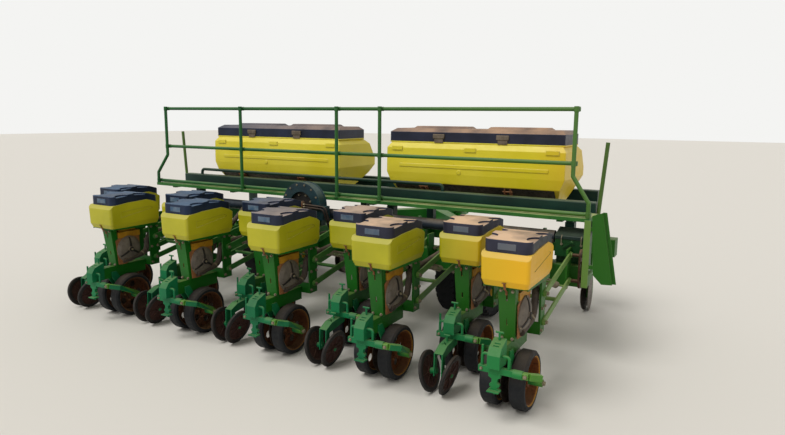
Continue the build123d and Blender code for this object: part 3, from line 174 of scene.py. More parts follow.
def weathered(name, fresh, faded, soil, dust, patch=350, mark=30, soil_share=0.4, dust_share=0.6,
              rough=(0.35, 0.55), grain=4, relief=0.15, metal=0.0, gloss=0.3, corner=3.0, worn=None,
              right=None, dusty=None):
    """A finish with faded patches, dark marks, worn corners, and dust on what faces up.

    Sizes are in millimetres. right is a colour of painted sunlight, with the X where it starts and where it
    is full;
    dusty is the X where the dust starts and where it is full, with the colour of a painted sky reflection
    that lies on what faces up before the dust starts, or None for bare tops."""
    finish = bpy.data.materials.new(name)
    finish.use_nodes = True
    tree = finish.node_tree
    shader = tree.nodes["Principled BSDF"]
    shader.inputs["Metallic"].default_value = metal
    shader.inputs["Specular IOR Level"].default_value = gloss
    place = add(tree, "ShaderNodeTexCoord").outputs

    def noise(size, detail, harsh=0.5):
        settings = {"Scale": 1000 / size, "Detail": detail, "Roughness": harsh}
        return add(tree, "ShaderNodeTexNoise", settings, {"Vector": place["Object"]}).outputs[0]

    cloud = noise(patch, 4.0)
    colour = blend(tree, ramp(tree, cloud, *HALF_TONE), fresh, faded)
    across = add(tree, "ShaderNodeSeparateXYZ", None, {0: place["Object"]}).outputs[0]
    # Painted sunlight: the colour turns to the right-hand colour towards the right end, where the sun fell
    if right:
        shade, start, full = right
        colour = blend(tree, ramp(tree, across, start, full), colour, shade)

    # Marks of soil, finer and coarser
    specks = noise(mark, 9.0, 0.62)
    start = 0.70 - 0.3 * soil_share
    colour = blend(tree, ramp(tree, specks, start, start + 0.16, 0.0, 0.8), colour, soil)

    # Corners are rounded to the eye and rubbed down to another colour in places
    rounded = add(tree, "ShaderNodeBevel", {"samples": 4, "Radius": corner / 1000}).outputs[0]
    if worn:
        flat = add(tree, "ShaderNodeNewGeometry").outputs["Normal"]
        agree = add(tree, "ShaderNodeVectorMath", {"operation": "DOT_PRODUCT"}, {0: rounded, 1: flat})
        rubbed = ramp(tree, agree.outputs["Value"], 0.985, 0.86)
        broken = ramp(tree, specks, 0.42, 0.56)
        colour = blend(tree, reckon(tree, "MULTIPLY", rubbed, broken), colour, worn)

    # Dust lies on upward faces, in drifts; where a sheen colour is given, a painted sky reflection lies on
    # the tops before the dust starts
    facing = add(tree, "ShaderNodeSeparateXYZ", None, {0: place["Normal"]}).outputs[2]
    upward = ramp(tree, facing, 0.1, 0.95, 0.04)
    drift = ramp(tree, cloud, 0.3, 0.62, 0.3)
    lying = reckon(tree, "MULTIPLY", reckon(tree, "MULTIPLY", upward, drift), dust_share)
    dust_and_sheen = dust
    if dusty:
        start, full, painted_sheen = dusty
        share = ramp(tree, across, start, full, 0.0 if painted_sheen else 0.12)
        if painted_sheen:
            dust_and_sheen = blend(tree, share, painted_sheen, dust)
        else:
            lying = reckon(tree, "MULTIPLY", lying, share)
    tree.links.new(blend(tree, lying, colour, dust_and_sheen), shader.inputs["Base Color"])

    # Dust dulls the surface as well, and a fine grain breaks up its shine
    sheen = ramp(tree, specks, *HALF_TONE, *rough)
    dull = reckon(tree, "ADD", reckon(tree, "MULTIPLY", lying, 0.35), sheen)
    tree.links.new(dull, shader.inputs["Roughness"])
    bump = add(tree, "ShaderNodeBump", {"Strength": relief, "Distance": 0.001},
               {"Height": noise(grain, 2.0), "Normal": rounded})
    tree.links.new(bump.outputs[0], shader.inputs["Normal"])
    return finish


def dress(names, finish, *areas):
    """Gives pieces of the model their finish, and other finishes to faces whose middle passes a test."""
    for name in names:
        data = nodes[name].data
        data.materials.clear()
        for material in [finish] + [area[0] for area in areas]:
            data.materials.append(material)
        for face in data.polygons:
            face.material_index = 0
            for index, (_, inside) in enumerate(areas, 1):
                if inside(face.center):
                    face.material_index = index


# Sprayed enamel on steel: half gloss, with painted sunlight making it paler towards the right end
enamel = weathered("green_enamel", "#08570F", "#126815", "#1B2A12", "#7F7A4C", mark=14, soil_share=0.2,
                   dust_share=0.4, worn="#5A7A3C", right=("#215E10", 0.8, 2.4))
# The same enamel as a lit copy, with painted sunlight for parts in the sun: paler, and yellower towards
# the right
painted_sunlit_enamel = weathered("painted_sunlit_green_enamel", "#1E6B2A", "#357C30", "#24321A", "#8F9460", mark=14,
                         soil_share=0.2, dust_share=0.45, worn="#86A05A", right=("#62843A", -0.5, 2.3))
dress(["rear_toolbar", "front_toolbar", "frame_beams", "drawbar", "parking_jack", "transport_legs"], enamel)

# Zinc plating that has dulled: a soft brownish metal shine, broken by rust
zinc = weathered("dull_zinc_plating", "#7C7464", "#958B76", "#4E3220", "#8F8058", patch=60, mark=8,
                 soil_share=0.6, rough=(0.4, 0.6), metal=0.6, corner=1.0)
# Bare iron gone to rust: matt, orange brown and rough to the touch
rust = weathered("rusted_iron", "#6E4327", "#8A5A36", "#3B2417", "#A08560", patch=50, mark=9, soil_share=0.6,
                 rough=(0.7, 0.9), grain=2, relief=0.5, corner=1.0)


def turned_to(point, axis):
    """Matrix that carries the origin to a point and Z to an axis."""
    return Matrix.Translation(point) @ Vector(axis).to_track_quat("Z", "Y").to_matrix().to_4x4()


def wrap(mesh, rings, foot=True):
    """Surface over a row of like outlines, closed at both ends, or open at the first one without foot."""
    rings = [[mesh.verts.new(point) for point in ring] for ring in rings]
    for lower, upper in zip(rings, rings[1:]):
        for i in range(len(lower)):
            j = (i + 1) % len(lower)
            mesh.faces.new((lower[i], lower[j], upper[j], upper[i]))
    mesh.faces.new(rings[-1])
    if foot:
        mesh.faces.new(rings[0][::-1])


def disc(mesh, place, radius, low, high, sides=12, taper=0.0):
    """Round or many-sided slug between two heights along a matrix's Z, narrower at its top by taper."""
    angles = [2 * pi * i / sides for i in range(sides)]
    steps = ((low, radius), (high - taper, radius), (high, radius - taper))
    wrap(mesh, [[place @ Vector((r * cos(a), r * sin(a), z)) for a in angles] for z, r in steps])


def bolt(mesh, point, axis, across):
    """Hexagon head on a washer, its foot on a surface."""
    place = turned_to(point, axis)
    disc(mesh, place, across * 0.62, -0.001, across * 0.12, 14, across * 0.03)
    disc(mesh, place, across * 0.5, across * 0.11, across * 0.6, 6, across * 0.08)


def tube(mesh, points, radius, sides=8):
    """Round bar along a line of points, closed at both ends."""
    points = [Vector(p) for p in points]
    angles = [2 * pi * i / sides for i in range(sides)]
    rings = []
    side = None
    for i, point in enumerate(points):
        ahead = (points[min(i + 1, len(points) - 1)] - points[max(i - 1, 0)]).normalized()
        if side is None:
            side = ahead.orthogonal()
        side = (side - ahead * side.dot(ahead)).normalized()
        other = ahead.cross(side)
        rings.append([point + radius * (cos(a) * side + sin(a) * other) for a in angles])
    wrap(mesh, rings)


def fit(name, body, mesh, finish, edge=0.0):
    """Makes the piece, rounds its edges if wanted, and fixes it to its body."""
    bmesh.ops.recalc_face_normals(mesh, faces=mesh.faces)
    obj = link(name, mesh)
    obj.data.materials.append(finish)
    obj.data.shade_smooth()
    obj.data.set_sharp_from_angle(angle=radians(35))
    if edge:
        rounding = obj.modifiers.new("rounding", "BEVEL")
        rounding.width = edge
        rounding.segments = 2
        rounding.limit_method = "ANGLE"
    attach(obj, body)


BACK = -2.325              # Y of the rear hoppers' rear faces
MIDDLE = -0.125            # X of the line between the fifth and sixth row
SPACING = 0.5              # from row to row
STAGGER = 0.434            # every other unit stands this much further forward
ROWS = [((i - 4.5) * SPACING + MIDDLE, STAGGER * (1 - i % 2) + BACK) for i in range(10)]
SIDES = ((-1, "left"), (1, "right"))
BAR_REAR = 1.300 + BACK
BAR_DEPTH = 0.150
BAR_Z = (0.600, 0.780)
U_BOLT = 0.008             # radius of its round bar
U_BEND = 0.012             # its corners are cut by this much
U_SIDE = 0.095             # to each side of the row

# Two U-bolts for each row unit go round the rear toolbar, their nuts on the brackets' side
straps = bmesh.new()
nuts = bmesh.new()
front, rear = BAR_REAR + BAR_DEPTH + U_BOLT, BAR_REAR - 0.03
low, high = BAR_Z[0] - U_BOLT, BAR_Z[1] + U_BOLT
for x, _ in ROWS:
    for side in (-U_SIDE, U_SIDE):
        line = ((rear, high), (front - U_BEND, high), (front, high - U_BEND),
                (front, low + U_BEND), (front - U_BEND, low), (rear, low))
        tube(straps, [(x + side, y, z) for y, z in line], U_BOLT)
        for z in (low, high):
            bolt(nuts, (x + side, BAR_REAR - 0.014, z), (0, -1, 0), 0.026)
fit("toolbar_u_bolts", "chassis", straps, zinc)
fit("toolbar_u_bolt_nuts", "chassis", nuts, zinc)


# Row unit beams, posts and trays. Folded and welded plate, the same green enamel; a slot in the post
# shows bare rusted edges, and the opener shank below the beam is worn bright by the soil.
BEAM_FOOT = 0.3915         # Z below which the beam's solids are the opener's shank
SLOTS_Z = (0.630, 0.800)
SLOT_HALF = (0.0052, 0.0202)
SLOT_FRONT = 0.135
HEAD_SIDE = 0.122
HEAD_BOLTS = ((0.475, 0.480), (0.475, 0.640), (0.545, 0.640), (0.475, 0.845), (0.545, 0.845))
# Distance to the side, Y from the hopper's rear face, Z, and how much the axis leans up
POST_BOLTS = ((0.035, 0.105, 0.515, 0.13), (0.040, 0.0625, 0.850, -0.13))

# Steel scoured by soil: brown grey metal with a low broken shine and rusty marks
worn_steel = weathered("soil_worn_steel", "#4B443E", "#6A625A", "#462C1C", "#7A6448", patch=90, mark=14,
                       soil_share=0.7, dust_share=0.6, rough=(0.35, 0.6), metal=0.7, grain=3, relief=0.3,
                       corner=1.0)


def unit_place(point):
    """Where a point lies within its own row unit: X from the row's line, Y from the hopper's rear face."""
    number = min(9, max(0, round((point.x - MIDDLE) / SPACING + 4.5)))
    x, y = ROWS[number]
    return Vector((point.x - x, point.y - y, point.z))


def in_slot(point):
    """True inside the two slots in the back of a post."""
    here = unit_place(point)
    nearest = min(abs(here.z - z) for z in SLOTS_Z)
    return abs(here.x) < SLOT_HALF[0] and here.y < SLOT_FRONT and nearest < SLOT_HALF[1]


dress(["row_unit_posts"], enamel, (rust, in_slot))
dress(["hopper_trays"], enamel)
dress(["row_unit_beams"], enamel, (worn_steel, lambda p: p.z < BEAM_FOOT))

# Bolts through the head's side plates, and in the back of the post at its foot and under the tray
heads = bmesh.new()
for x, y in ROWS:
    for side in (-1, 1):
        for back, z in HEAD_BOLTS:
            bolt(heads, (x + side * HEAD_SIDE, y + back, z), (side, 0, 0), 0.022)
        for out, back, z, lean in POST_BOLTS:
            bolt(heads, (x + side * out, y + back, z), (0, -0.99, lean), 0.019)
fit("row_unit_bolts", "chassis", heads, zinc)


# Parallel arms with their down force springs. Flat bars on pins, in a lighter green that is painted
# sunlight on the frame's enamel; each unit has two coil springs of round wire, hooked between a rod on
# the upper arms and one on the lower arms.
dress(["parallel_arms"], painted_sunlit_enamel)

ARM_BACK = 0.515           # Y of the arms' rear pivots from the hopper's rear face
ARM_Z = (0.530, 0.740)     # lower and upper arm there
ARM_RISE = 0.19
ARM_END = 1.240 + BACK
ARM_SIDE = 0.1283
PIVOT_SIDE = 0.1443
ROD = 0.008
ROD_SHARES = (0.30, 0.80)  # where along the arms the upper and the lower rod lie
SPRING_SIDE = 0.072
COIL = 0.024
WIRE = 0.0042
COIL_TURNS = 11
COIL_STEPS = 14
HOOK = 0.045               # length of a spring's straight end
BEND = 0.012               # how far a rod lies inside its pivots' line, and a hook reaches round a rod

springs = bmesh.new()
hooks = bmesh.new()
for x, y in ROWS:
    start = y + ARM_BACK
    run = ARM_END - start
    upper_y, lower_y = [start + share * run for share in ROD_SHARES]
    upper_z = ARM_Z[1] + ARM_RISE * ROD_SHARES[0] * run - BEND
    lower_z = ARM_Z[0] + ARM_RISE * ROD_SHARES[1] * run + BEND
    for rod_y, rod_z in ((upper_y, upper_z), (lower_y, lower_z)):
        tube(hooks, [(x - ARM_SIDE, rod_y, rod_z), (x + ARM_SIDE, rod_y, rod_z)], ROD)
    for side in (-SPRING_SIDE, SPRING_SIDE):
        first, last = Vector((x + side, upper_y, upper_z)), Vector((x + side, lower_y, lower_z))
        along = (last - first).normalized()
        across = Vector((1, 0, 0))
        third = along.cross(across)
        wound = (last - first).length - 2 * HOOK
        line = [first + BEND * third, first + BEND * along, first + HOOK * 0.7 * along]
        for i in range(COIL_TURNS * COIL_STEPS + 1):
            a = 2 * pi * i / COIL_STEPS
            way = HOOK + wound * i / (COIL_TURNS * COIL_STEPS)
            line.append(first + way * along + COIL * (cos(a) * across + sin(a) * third))
        line += [last - HOOK * 0.7 * along, last - BEND * along, last - BEND * third]
        tube(springs, line, WIRE, 6)
fit("down_force_springs", "chassis", springs, zinc)
fit("down_force_rods", "chassis", hooks, painted_sunlit_enamel)

# Nuts on the arms' pivots, but none where the chain's two shafts stand out from the last unit's arms
pivots = bmesh.new()
for x, y in ROWS:
    rise = ARM_RISE * (ARM_END - y - ARM_BACK)
    for side in (-1, 1):
        for z in ARM_Z:
            bolt(pivots, (x + side * PIVOT_SIDE, y + ARM_BACK, z), (side, 0, 0), 0.026)
            if x < 2.0 or side < 0:
                bolt(pivots, (x + side * PIVOT_SIDE, ARM_END, z + rise), (side, 0, 0), 0.026)
fit("arm_pivot_nuts", "chassis", pivots, zinc)


# Depth bars and hoods. A welded steel hood over the beam's end, a square bar below it with a round
# collar, and a bent arm out to the gauge wheel's hub, in a bluer green than the frame.
GAUGE = (0.220, 0.205)     # a gauge wheel's middle: Y from the hopper's rear face, Z
BAR_END = 0.1803           # X from the row beyond which the bar's end stands free
# Place within the unit, axis, size across
DEPTH_BOLTS = (((0.1990, -0.1225, 0.3718), (0, -1, 0), 0.022),
               ((0.2230, GAUGE[0], GAUGE[1]), (1, 0, 0), 0.030),
               ((-0.090, -0.1200, 0.3718), (0, -1, 0), 0.018))

# Fresher enamel in the hoppers' shade: a deep blue green that stays even, with painted sunlight making it
# yellower to the right
teal_enamel = weathered("blue_green_enamel", "#075C3A", "#0F7646", "#18281A", "#7F8A58", mark=14,
                        soil_share=0.2, dust_share=0.45, gloss=0.2, worn="#4F9A70",
                        right=("#1F7A3C", 1.0, 2.3))
# The same bar's free end as a lit copy, with painted sunlight: a light yellow green
painted_sunlit_lime = weathered("painted_sunlit_lime_enamel", "#3A7C26", "#568E30", "#24321A", "#8F9460", mark=14,
                        soil_share=0.2, dust_share=0.4, worn="#86A05A")
dress(["depth_bars"], teal_enamel, (painted_sunlit_lime, lambda p: unit_place(p).x > BAR_END))
dress(["rear_brackets"], teal_enamel)

hubs = bmesh.new()
for x, y in ROWS:
    for spot, axis, size in DEPTH_BOLTS:
        bolt(hubs, Vector((x, y, 0)) + Vector(spot), axis, size)
fit("depth_bar_bolts", "chassis", hubs, zinc)


# Opener discs. Flat steel discs in pairs on a shank, bright where the soil has worn them and brown
# with rust elsewhere.
dress(["opener_discs"], worn_steel)


# Gauge wheels. Each is a wide semi-pneumatic rubber tyre on a pressed steel rim with five windows; the
# paint of the rim has gone to rust, yellowest along the lip.
GAUGE_RIM = 0.1635         # radius inside which the wheel is rim
GAUGE_LIP = 0.1702         # outer radius of the rim's lip
GAUGE_WEB = 0.0855         # from the row to the web's outer side
GAUGE_RING = 0.062         # radius of the ring of bolts
GAUGE_BOLTS = 5

# Rubber scrubbed by stubble and soil: dull blue black, brown in its pores, dusty on top
tyre_rubber = weathered("field_worn_rubber", "#121519", "#1D2024", "#352C24", "#4C4134", patch=150, mark=24,
                        soil_share=0.3, dust_share=0.6, rough=(0.55, 0.8), grain=3, relief=0.35, gloss=0.25)
# Old paint with rust coming through: dark red brown, matt, and warmer towards the right end as painted
# sunlight
rim_paint = weathered("rusting_rim_paint", "#3A2416", "#5A3012", "#1E130D", "#6B5238", patch=90, mark=14,
                      soil_share=0.6, rough=(0.6, 0.85), grain=3, relief=0.4, right=("#6E3A10", -0.5, 2.3))
# The lip keeps more of its yellow paint: a thin ochre ring, with painted sunlight making it brighter
# towards the right end
rim_lip = weathered("yellow_brown_rim_lip", "#5E3E1C", "#7A4E1E", "#33200F", "#7D6440", patch=60, mark=10,
                    soil_share=0.5, rough=(0.6, 0.8), grain=3, relief=0.3, right=("#C28A1E", -0.5, 2.3))


def gauge_radius(point):
    """Distance of a point from the axis of its unit's gauge wheels."""
    here = unit_place(point)
    return Vector((here.y - GAUGE[0], here.z - GAUGE[1])).length


def around(x, y, z, radius, share):
    """Point on a circle about a line along X, a share of the full turn from straight ahead."""
    return Vector((x, y + radius * cos(2 * pi * share), z + radius * sin(2 * pi * share)))


gauge_names = [f"gauge_wheels_{n:02d}" for n in range(1, 11)]
dress(gauge_names, tyre_rubber, (rim_paint, lambda p: gauge_radius(p) < GAUGE_RIM),
      (rim_lip, lambda p: GAUGE_RIM <= gauge_radius(p) < GAUGE_LIP))

# Ring of bolts round each hub, on the outer side of the web
for number, (x, y) in enumerate(ROWS, 1):
    ring = bmesh.new()
    for side in (-1, 1):
        for i in range(GAUGE_BOLTS):
            spot = around(x + side * GAUGE_WEB, y + GAUGE[0], GAUGE[1], GAUGE_RING, (i + 0.5) / GAUGE_BOLTS)
            bolt(ring, spot, (side, 0, 0), 0.018)
    fit(f"gauge_hub_bolts_{number:02d}", f"gauge_wheels_{number:02d}", ring, rust)


# Closing wheels. Narrow rubber tyres on ribbed cast rims, dark red brown with rust, each on its own
# slanting stub under the forked closing arm.
CLOSE = (0.080, -0.290)    # a closing wheel's middle: X from the row, Y from the hopper's rear face
CLOSE_TILT = radians(14)
CLOSE_Z = 0.150 * cos(CLOSE_TILT) + 0.013 * sin(CLOSE_TILT)
CLOSE_RIM = 0.1165         # radius inside which the wheel is cast iron
WEB_HALF = 0.0038
RIBS = 8
RIB_ENDS = (0.036, 0.1065)
RIB_HALF = 0.0035
RIB_HEIGHT = 0.006
RIB_TAPER = 0.6            # width of a rib's outer top corner beside its foot

# Sand-cast iron without paint: nearly black brown, grainy and matt
cast_iron = weathered("rusted_cast_iron", "#2E1612", "#3C2019", "#150C0A", "#5A4534", patch=60, mark=10,
                      soil_share=0.5, rough=(0.6, 0.85), grain=2, relief=0.5, corner=1.5)
# Rubber that rolls over loose soil only: smoother and blacker than the gauge tyres, with a little shine
closing_rubber = weathered("smooth_black_rubber", "#131213", "#1E1B1A", "#30281F", "#43392D", patch=110,
                           mark=20, soil_share=0.35, dust_share=0.5, rough=(0.5, 0.75), grain=3,
                           relief=0.25, gloss=0.35)


def closing_axis(side):
    """Direction of a closing wheel's stub, outwards and down."""
    return Vector((side * cos(CLOSE_TILT), 0, -sin(CLOSE_TILT)))


def closing_radius(point):
    """Distance of a point from the axis of the closing wheel that it belongs to."""
    here = unit_place(point)
    side = 1 if here.x > 0 else -1
    arm = here - Vector((side * CLOSE[0], CLOSE[1], CLOSE_Z))
    axis = closing_axis(side)
    return (arm - axis * arm.dot(axis)).length


# Only the forward units have them. Ribs run from the hub to the rim on both faces of the web
for number, (x, y) in list(enumerate(ROWS, 1))[::2]:
    for side, word in SIDES:
        body = f"closing_wheel_{number:02d}_{word}"
        dress([body], closing_rubber, (cast_iron, lambda p: closing_radius(p) < CLOSE_RIM))
        ribs = bmesh.new()
        middle = Vector((x + side * CLOSE[0], y + CLOSE[1], CLOSE_Z))
        axis = closing_axis(side)
        level = Vector((0, 1, 0))
        upright = axis.cross(level)
        for face in (-1, 1):
            base = middle + face * WEB_HALF * axis
            lift = face * RIB_HEIGHT * axis
            for i in range(RIBS):
                a = 2 * pi * i / RIBS
                out = cos(a) * level + sin(a) * upright
                foot, tip = [base + reach * out for reach in RIB_ENDS]
                wide = RIB_HALF * axis.cross(out)
                slim = RIB_TAPER * wide
                wrap(ribs, [[foot - wide, foot + wide, tip + wide, tip - wide],
                            [foot - wide + lift, foot + wide + lift, tip + slim + lift, tip - slim + lift]])
        fit(f"closing_ribs_{number:02d}_{word}", body, ribs, cast_iron, edge=0.001)


# Seed hoppers. Rotationally moulded polyethylene, semi-gloss lemon yellow, darkened to olive by painted
# shade and turned golden towards the right end by painted sunlight, with a hook of rusted strap that ties
# the rear edge down to the post.
WALL_HALF = (0.163, 0.169)  # half width of the hopper outside, at these two heights
WALL_Z = (0.925, 1.202)
SEAM_Y = (0.105, 0.475)
SEAM_Z = (0.980, 1.066)
SEAM_DEPTH = (0.0004, 0.0021)  # how deep in the wall the step's faces have their middle
# The tie's strap from the hopper down to the post: Y from the hopper's rear face, Z, half width
TIE = ((0.0025, 0.915, 0.006), (0.0165, 0.884, 0.008), (0.0210, 0.868, 0.008), (0.0560, 0.846, 0.007),
       (0.0585, 0.822, 0.007))
TIE_HALF = 0.0015

# Moulded polyethylene: coloured through, so it scuffs paler, with soft highlights on its big curves; its
# yellow is darkened to olive as painted shade, and goes golden to the right as painted sunlight
moulded_yellow = weathered("moulded_polyethylene", "#A29F0C", "#BDB61C", "#6E6420", "#B9A96A", patch=520,
                           mark=60, soil_share=0.12, dust_share=0.45, rough=(0.3, 0.42), grain=6,
                           relief=0.06, gloss=0.45, corner=6.0, worn="#C9C05A",
                           right=("#EAB203", 1.45, 2.25))
# Painted shade along the step round each side wall's recess: a thin dark olive line
seam_painted_shade = weathered("painted_shade_in_seams", "#4A4A14", "#5C5A1E", "#2E2A12", "#6E6430", patch=60, mark=12,
                      rough=(0.7, 0.9), gloss=0.1)


def in_seam(point):
    """True on the small step that runs round the wedge-shaped recess of each side wall."""
    here = unit_place(point)
    climb = (here.z - WALL_Z[0]) / (WALL_Z[1] - WALL_Z[0])
    depth = WALL_HALF[0] + (WALL_HALF[1] - WALL_HALF[0]) * climb - abs(here.x)
    return (SEAM_Y[0] < here.y < SEAM_Y[1] and SEAM_Z[0] < here.z < SEAM_Z[1]
            and SEAM_DEPTH[0] < depth < SEAM_DEPTH[1])


dress(["seed_hoppers"], moulded_yellow, (seam_painted_shade, in_seam))

latches = bmesh.new()
for x, y in ROWS:
    rings = []
    for back, z, half in TIE:
        rear, front = y + back - TIE_HALF, y + back + TIE_HALF
        rings.append([(x - half, rear, z), (x + half, rear, z), (x + half, front, z), (x - half, front, z)])
    wrap(latches, rings)
    tube(latches, [(x - 0.014, y - 0.0005, 0.915), (x + 0.014, y - 0.0005, 0.915)], 0.0035)
    bolt(latches, (x, y + 0.0570, 0.832), (0, -1, -0.13), 0.014)
fit("hopper_latches", "chassis", latches, rust)


# Seed hopper lids. Injection moulded navy plastic with a painted grey blue sky reflection on the tops at
# the left, field dust lying on the top and in the dips towards the right, and a small paler pad in the
# middle of the rear edge.
PAD_HALF = 0.0605
PAD_FRONT = 0.0295
PAD_Z = (1.12, 1.17)

# Navy plastic: deep navy below, a painted sky reflection in grey blue on the shaded tops, sand dust to the
# right
lid_plastic = weathered("navy_plastic_painted_sheen", "#081429", "#10223F", "#070C16", "#DEBA96", patch=240, mark=40,
                        soil_share=0.2, dust_share=0.95, rough=(0.3, 0.45), grain=3, relief=0.15, gloss=0.25,
                        corner=8.0, worn="#3C5170", dusty=(-0.6, 1.3, "#4A6078"))
# The pad's thinner film has dried out: greyer and flatter than the lid round it, and greyer still
# towards the right end as painted sunlight
pad_plastic = weathered("dusty_label_pad", "#2E506E", "#5B6E80", "#26303C", "#B49A80", patch=60, mark=20,
                        soil_share=0.2, rough=(0.4, 0.6), right=("#5C6068", 0.0, 2.3), corner=1.5)


def on_pad(point):
    """True on the pad at the back of a seed hopper's lid."""
    here = unit_place(point)
    return abs(here.x) < PAD_HALF and here.y < PAD_FRONT and PAD_Z[0] < here.z < PAD_Z[1]


dress([f"seed_lid_{n:02d}" for n in range(1, 11)], lid_plastic, (pad_plastic, on_pad))


# Seed meters. A moulded dome over the seed disc, brown grey with dust, on a pinkish back plate; a dark
# three-armed strap clamps the dome, and an orange yellow chute joins the hopper above.
METER = (0.245, 0.652)     # the dome's middle: Y from the hopper's rear face, Z
PLATE = (0.0667, 0.7698)   # the back plate lies within this X from the row and below this Z
CHUTE = (0.0670, 0.7695)   # the chute lies within this X from the row and above this Z
# A strap along the dome's outline: distance out from the middle, height of the surface
STRAP = ((0.012, 0.1120), (0.028, 0.1040), (0.060, 0.1022), (0.100, 0.0924), (0.127, 0.0768))
STRAP_THICK = Vector((0.004, 0, 0))

# Grey moulding under field dust: brown grey, soft, with paler rubbed edges
meter_dome = weathered("dusty_meter_moulding", "#5C554E", "#736A60", "#2A221C", "#8C7860", patch=80, mark=24,
                       soil_share=0.4, rough=(0.5, 0.7), grain=3, relief=0.3, worn="#857460")
# The plate behind is stained by seed dressing: a muddy pink brown
back_plate = weathered("stained_back_plate", "#7E5434", "#9C683E", "#3A281E", "#8C7458", patch=70, mark=18,
                       soil_share=0.45, rough=(0.55, 0.75))
# Yellow plastic under dirt: a warm orange yellow with a faint shine
chute_plastic = weathered("yellow_chute_moulding", "#A8741A", "#C48E22", "#3D2C14", "#9A8450", patch=90,
                          mark=20, soil_share=0.4, rough=(0.4, 0.6))
# Thin black paint on iron: soft black, with brown dust and rust in its marks
black_iron = weathered("black_painted_iron", "#141312", "#211F1D", "#3A2A1E", "#5E5040", patch=60, mark=14,
                       soil_share=0.4, rough=(0.45, 0.7), corner=1.0)
dress(["seed_meters"], meter_dome, (back_plate, lambda p: unit_place(p).x < PLATE[0] and p.z < PLATE[1]),
      (chute_plastic, lambda p: unit_place(p).x < CHUTE[0] and p.z >= CHUTE[1]))

straps = bmesh.new()
knobs = bmesh.new()
for x, y in ROWS:
    centre = Vector((x, y + METER[0], METER[1]))
    for i in range(3):
        a = 2 * pi * i / 3 + pi / 2
        out = Vector((0, cos(a), sin(a)))
        wide = Vector((0, -sin(a), cos(a)))
        rings = []
        for reach, high in STRAP:
            spot = centre + reach * out + Vector((high, 0, 0))
            half = (0.011 - 0.03 * reach) * wide
            rings.append([spot - half, spot + half, spot + half + STRAP_THICK, spot - half + STRAP_THICK])
        # Its inner end stays open under the boss in the middle
        wrap(straps, rings, foot=False)
        bolt(knobs, centre + 0.1245 * out + Vector((0.0775, 0, 0)), (1, 0, 0), 0.013)
    disc(straps, turned_to(centre + Vector((0.1095, 0, 0)), (1, 0, 0)), 0.024, 0, 0.008, 16, 0.002)
    disc(knobs, turned_to(centre + Vector((0.1170, 0, 0)), (1, 0, 0)), 0.010, 0, 0.012, 6, 0.002)
fit("meter_straps", "chassis", straps, black_iron)
fit("meter_screws", "chassis", knobs, zinc)


# Meter hoses and vacuum manifold. Ribbed brown rubber hoses, held at both ends, rise from the meters to
# a dark painted pipe; two smooth oil hoses run from the fan's motor down to the toolbar.
OIL_HOSE_Z = 1.045         # only oil hoses are above this
OIL_HOSE_X = (-0.14, 0.11)  # and between these, from the middle line
PIPE_FOOT = 0.938          # the pipe's stands are below this Z
CLIP = (0.0753, 0.3934, 0.5799)  # within the unit
CLIP_AXIS = (0, 0.918, 0.396)

# Ribbed rubber: matt dark brown, its ribs picked out by the light
hose_rubber = weathered("ribbed_brown_rubber", "#37302B", "#463D36", "#201A16", "#75644F", patch=110, mark=20,
                        soil_share=0.35, dust_share=0.6, rough=(0.5, 0.75))
# One rib in 18 mm, drawn coarser than the real 9 mm so that it shows
ribbing = hose_rubber.node_tree
bands = add(ribbing, "ShaderNodeTexWave", {"wave_type": "BANDS", "bands_direction": "Y", "Scale": 17.5},
            {"Vector": add(ribbing, "ShaderNodeTexCoord").outputs["Object"]})
corrugated = add(ribbing, "ShaderNodeBump", {"Strength": 0.7, "Distance": 0.004},
                 {"Height": bands.outputs[0]})
ribbing.links.new(corrugated.outputs[0], ribbing.nodes["Principled BSDF"].inputs["Normal"])
# Smooth oil hose: nearly black, with a soft line of light along it
oil_hose = weathered("smooth_oil_hose", "#1D1613", "#2C211C", "#100C0A", "#6E5B46", patch=90, mark=16,
                     soil_share=0.3, rough=(0.4, 0.6))


def is_oil_hose(point):
    """True on the two hoses of the fan's motor."""
    return point.z > OIL_HOSE_Z or OIL_HOSE_X[0] < point.x - MIDDLE < OIL_HOSE_X[1]


dress(["meter_hoses"], hose_rubber, (oil_hose, is_oil_hose))
# Dark blue paint on a plastic pipe: slate below, and buried in sandy dust on top towards the right
manifold_paint = weathered("dark_blue_pipe_paint", "#15202C", "#22303E", "#12140F", "#8F7E66", patch=160,
                           mark=24, soil_share=0.3, dust_share=0.75, rough=(0.4, 0.6),
                           dusty=(-1.0, 1.2, None))
dress(["vacuum_manifold"], manifold_paint, (enamel, lambda p: p.z < PIPE_FOOT))

# A worm clip where each hose leaves its meter
clips = bmesh.new()
for x, y in ROWS:
    place = turned_to(Vector((x, y, 0)) + Vector(CLIP), CLIP_AXIS)
    disc(clips, place, 0.0268, -0.007, 0.007, 20, 0.001)
    tube(clips, [place @ Vector((0.029, 0, -0.011)), place @ Vector((0.029, 0, 0.011))], 0.0055)
fit("hose_clips", "chassis", clips, zinc)


# Vacuum fan. A pressed steel scroll in dark blue green with a rolled rim, a recessed ring of bolts round
# the motor, and a rusty motor whose oil hoses leave to the right.
FAN = Vector((-0.250 + MIDDLE, 1.150 + BACK, 1.085))
FAN_EYE = 0.134            # radius of the black recess
FAN_DEPTH = (0.002, 0.08)  # how far ahead of the fan's rear face it lies
FAN_MOTOR = 0.045
FAN_BOLTS = 8
FAN_RING = 0.105
FAN_RIM = 0.205

# Enamel kept from the sun: blue black with a clean half gloss, green grey where dust lies
fan_enamel = weathered("dark_fan_enamel", "#08232B", "#10363D", "#0E1716", "#5F7468", patch=220, mark=24,
                       soil_share=0.25, dust_share=0.4, rough=(0.3, 0.5), gloss=0.45, worn="#3F6E70")


def from_fan(point):
    """Distance of a point from the fan's axis."""
    return Vector((point.x - FAN.x, point.z - FAN.z)).length


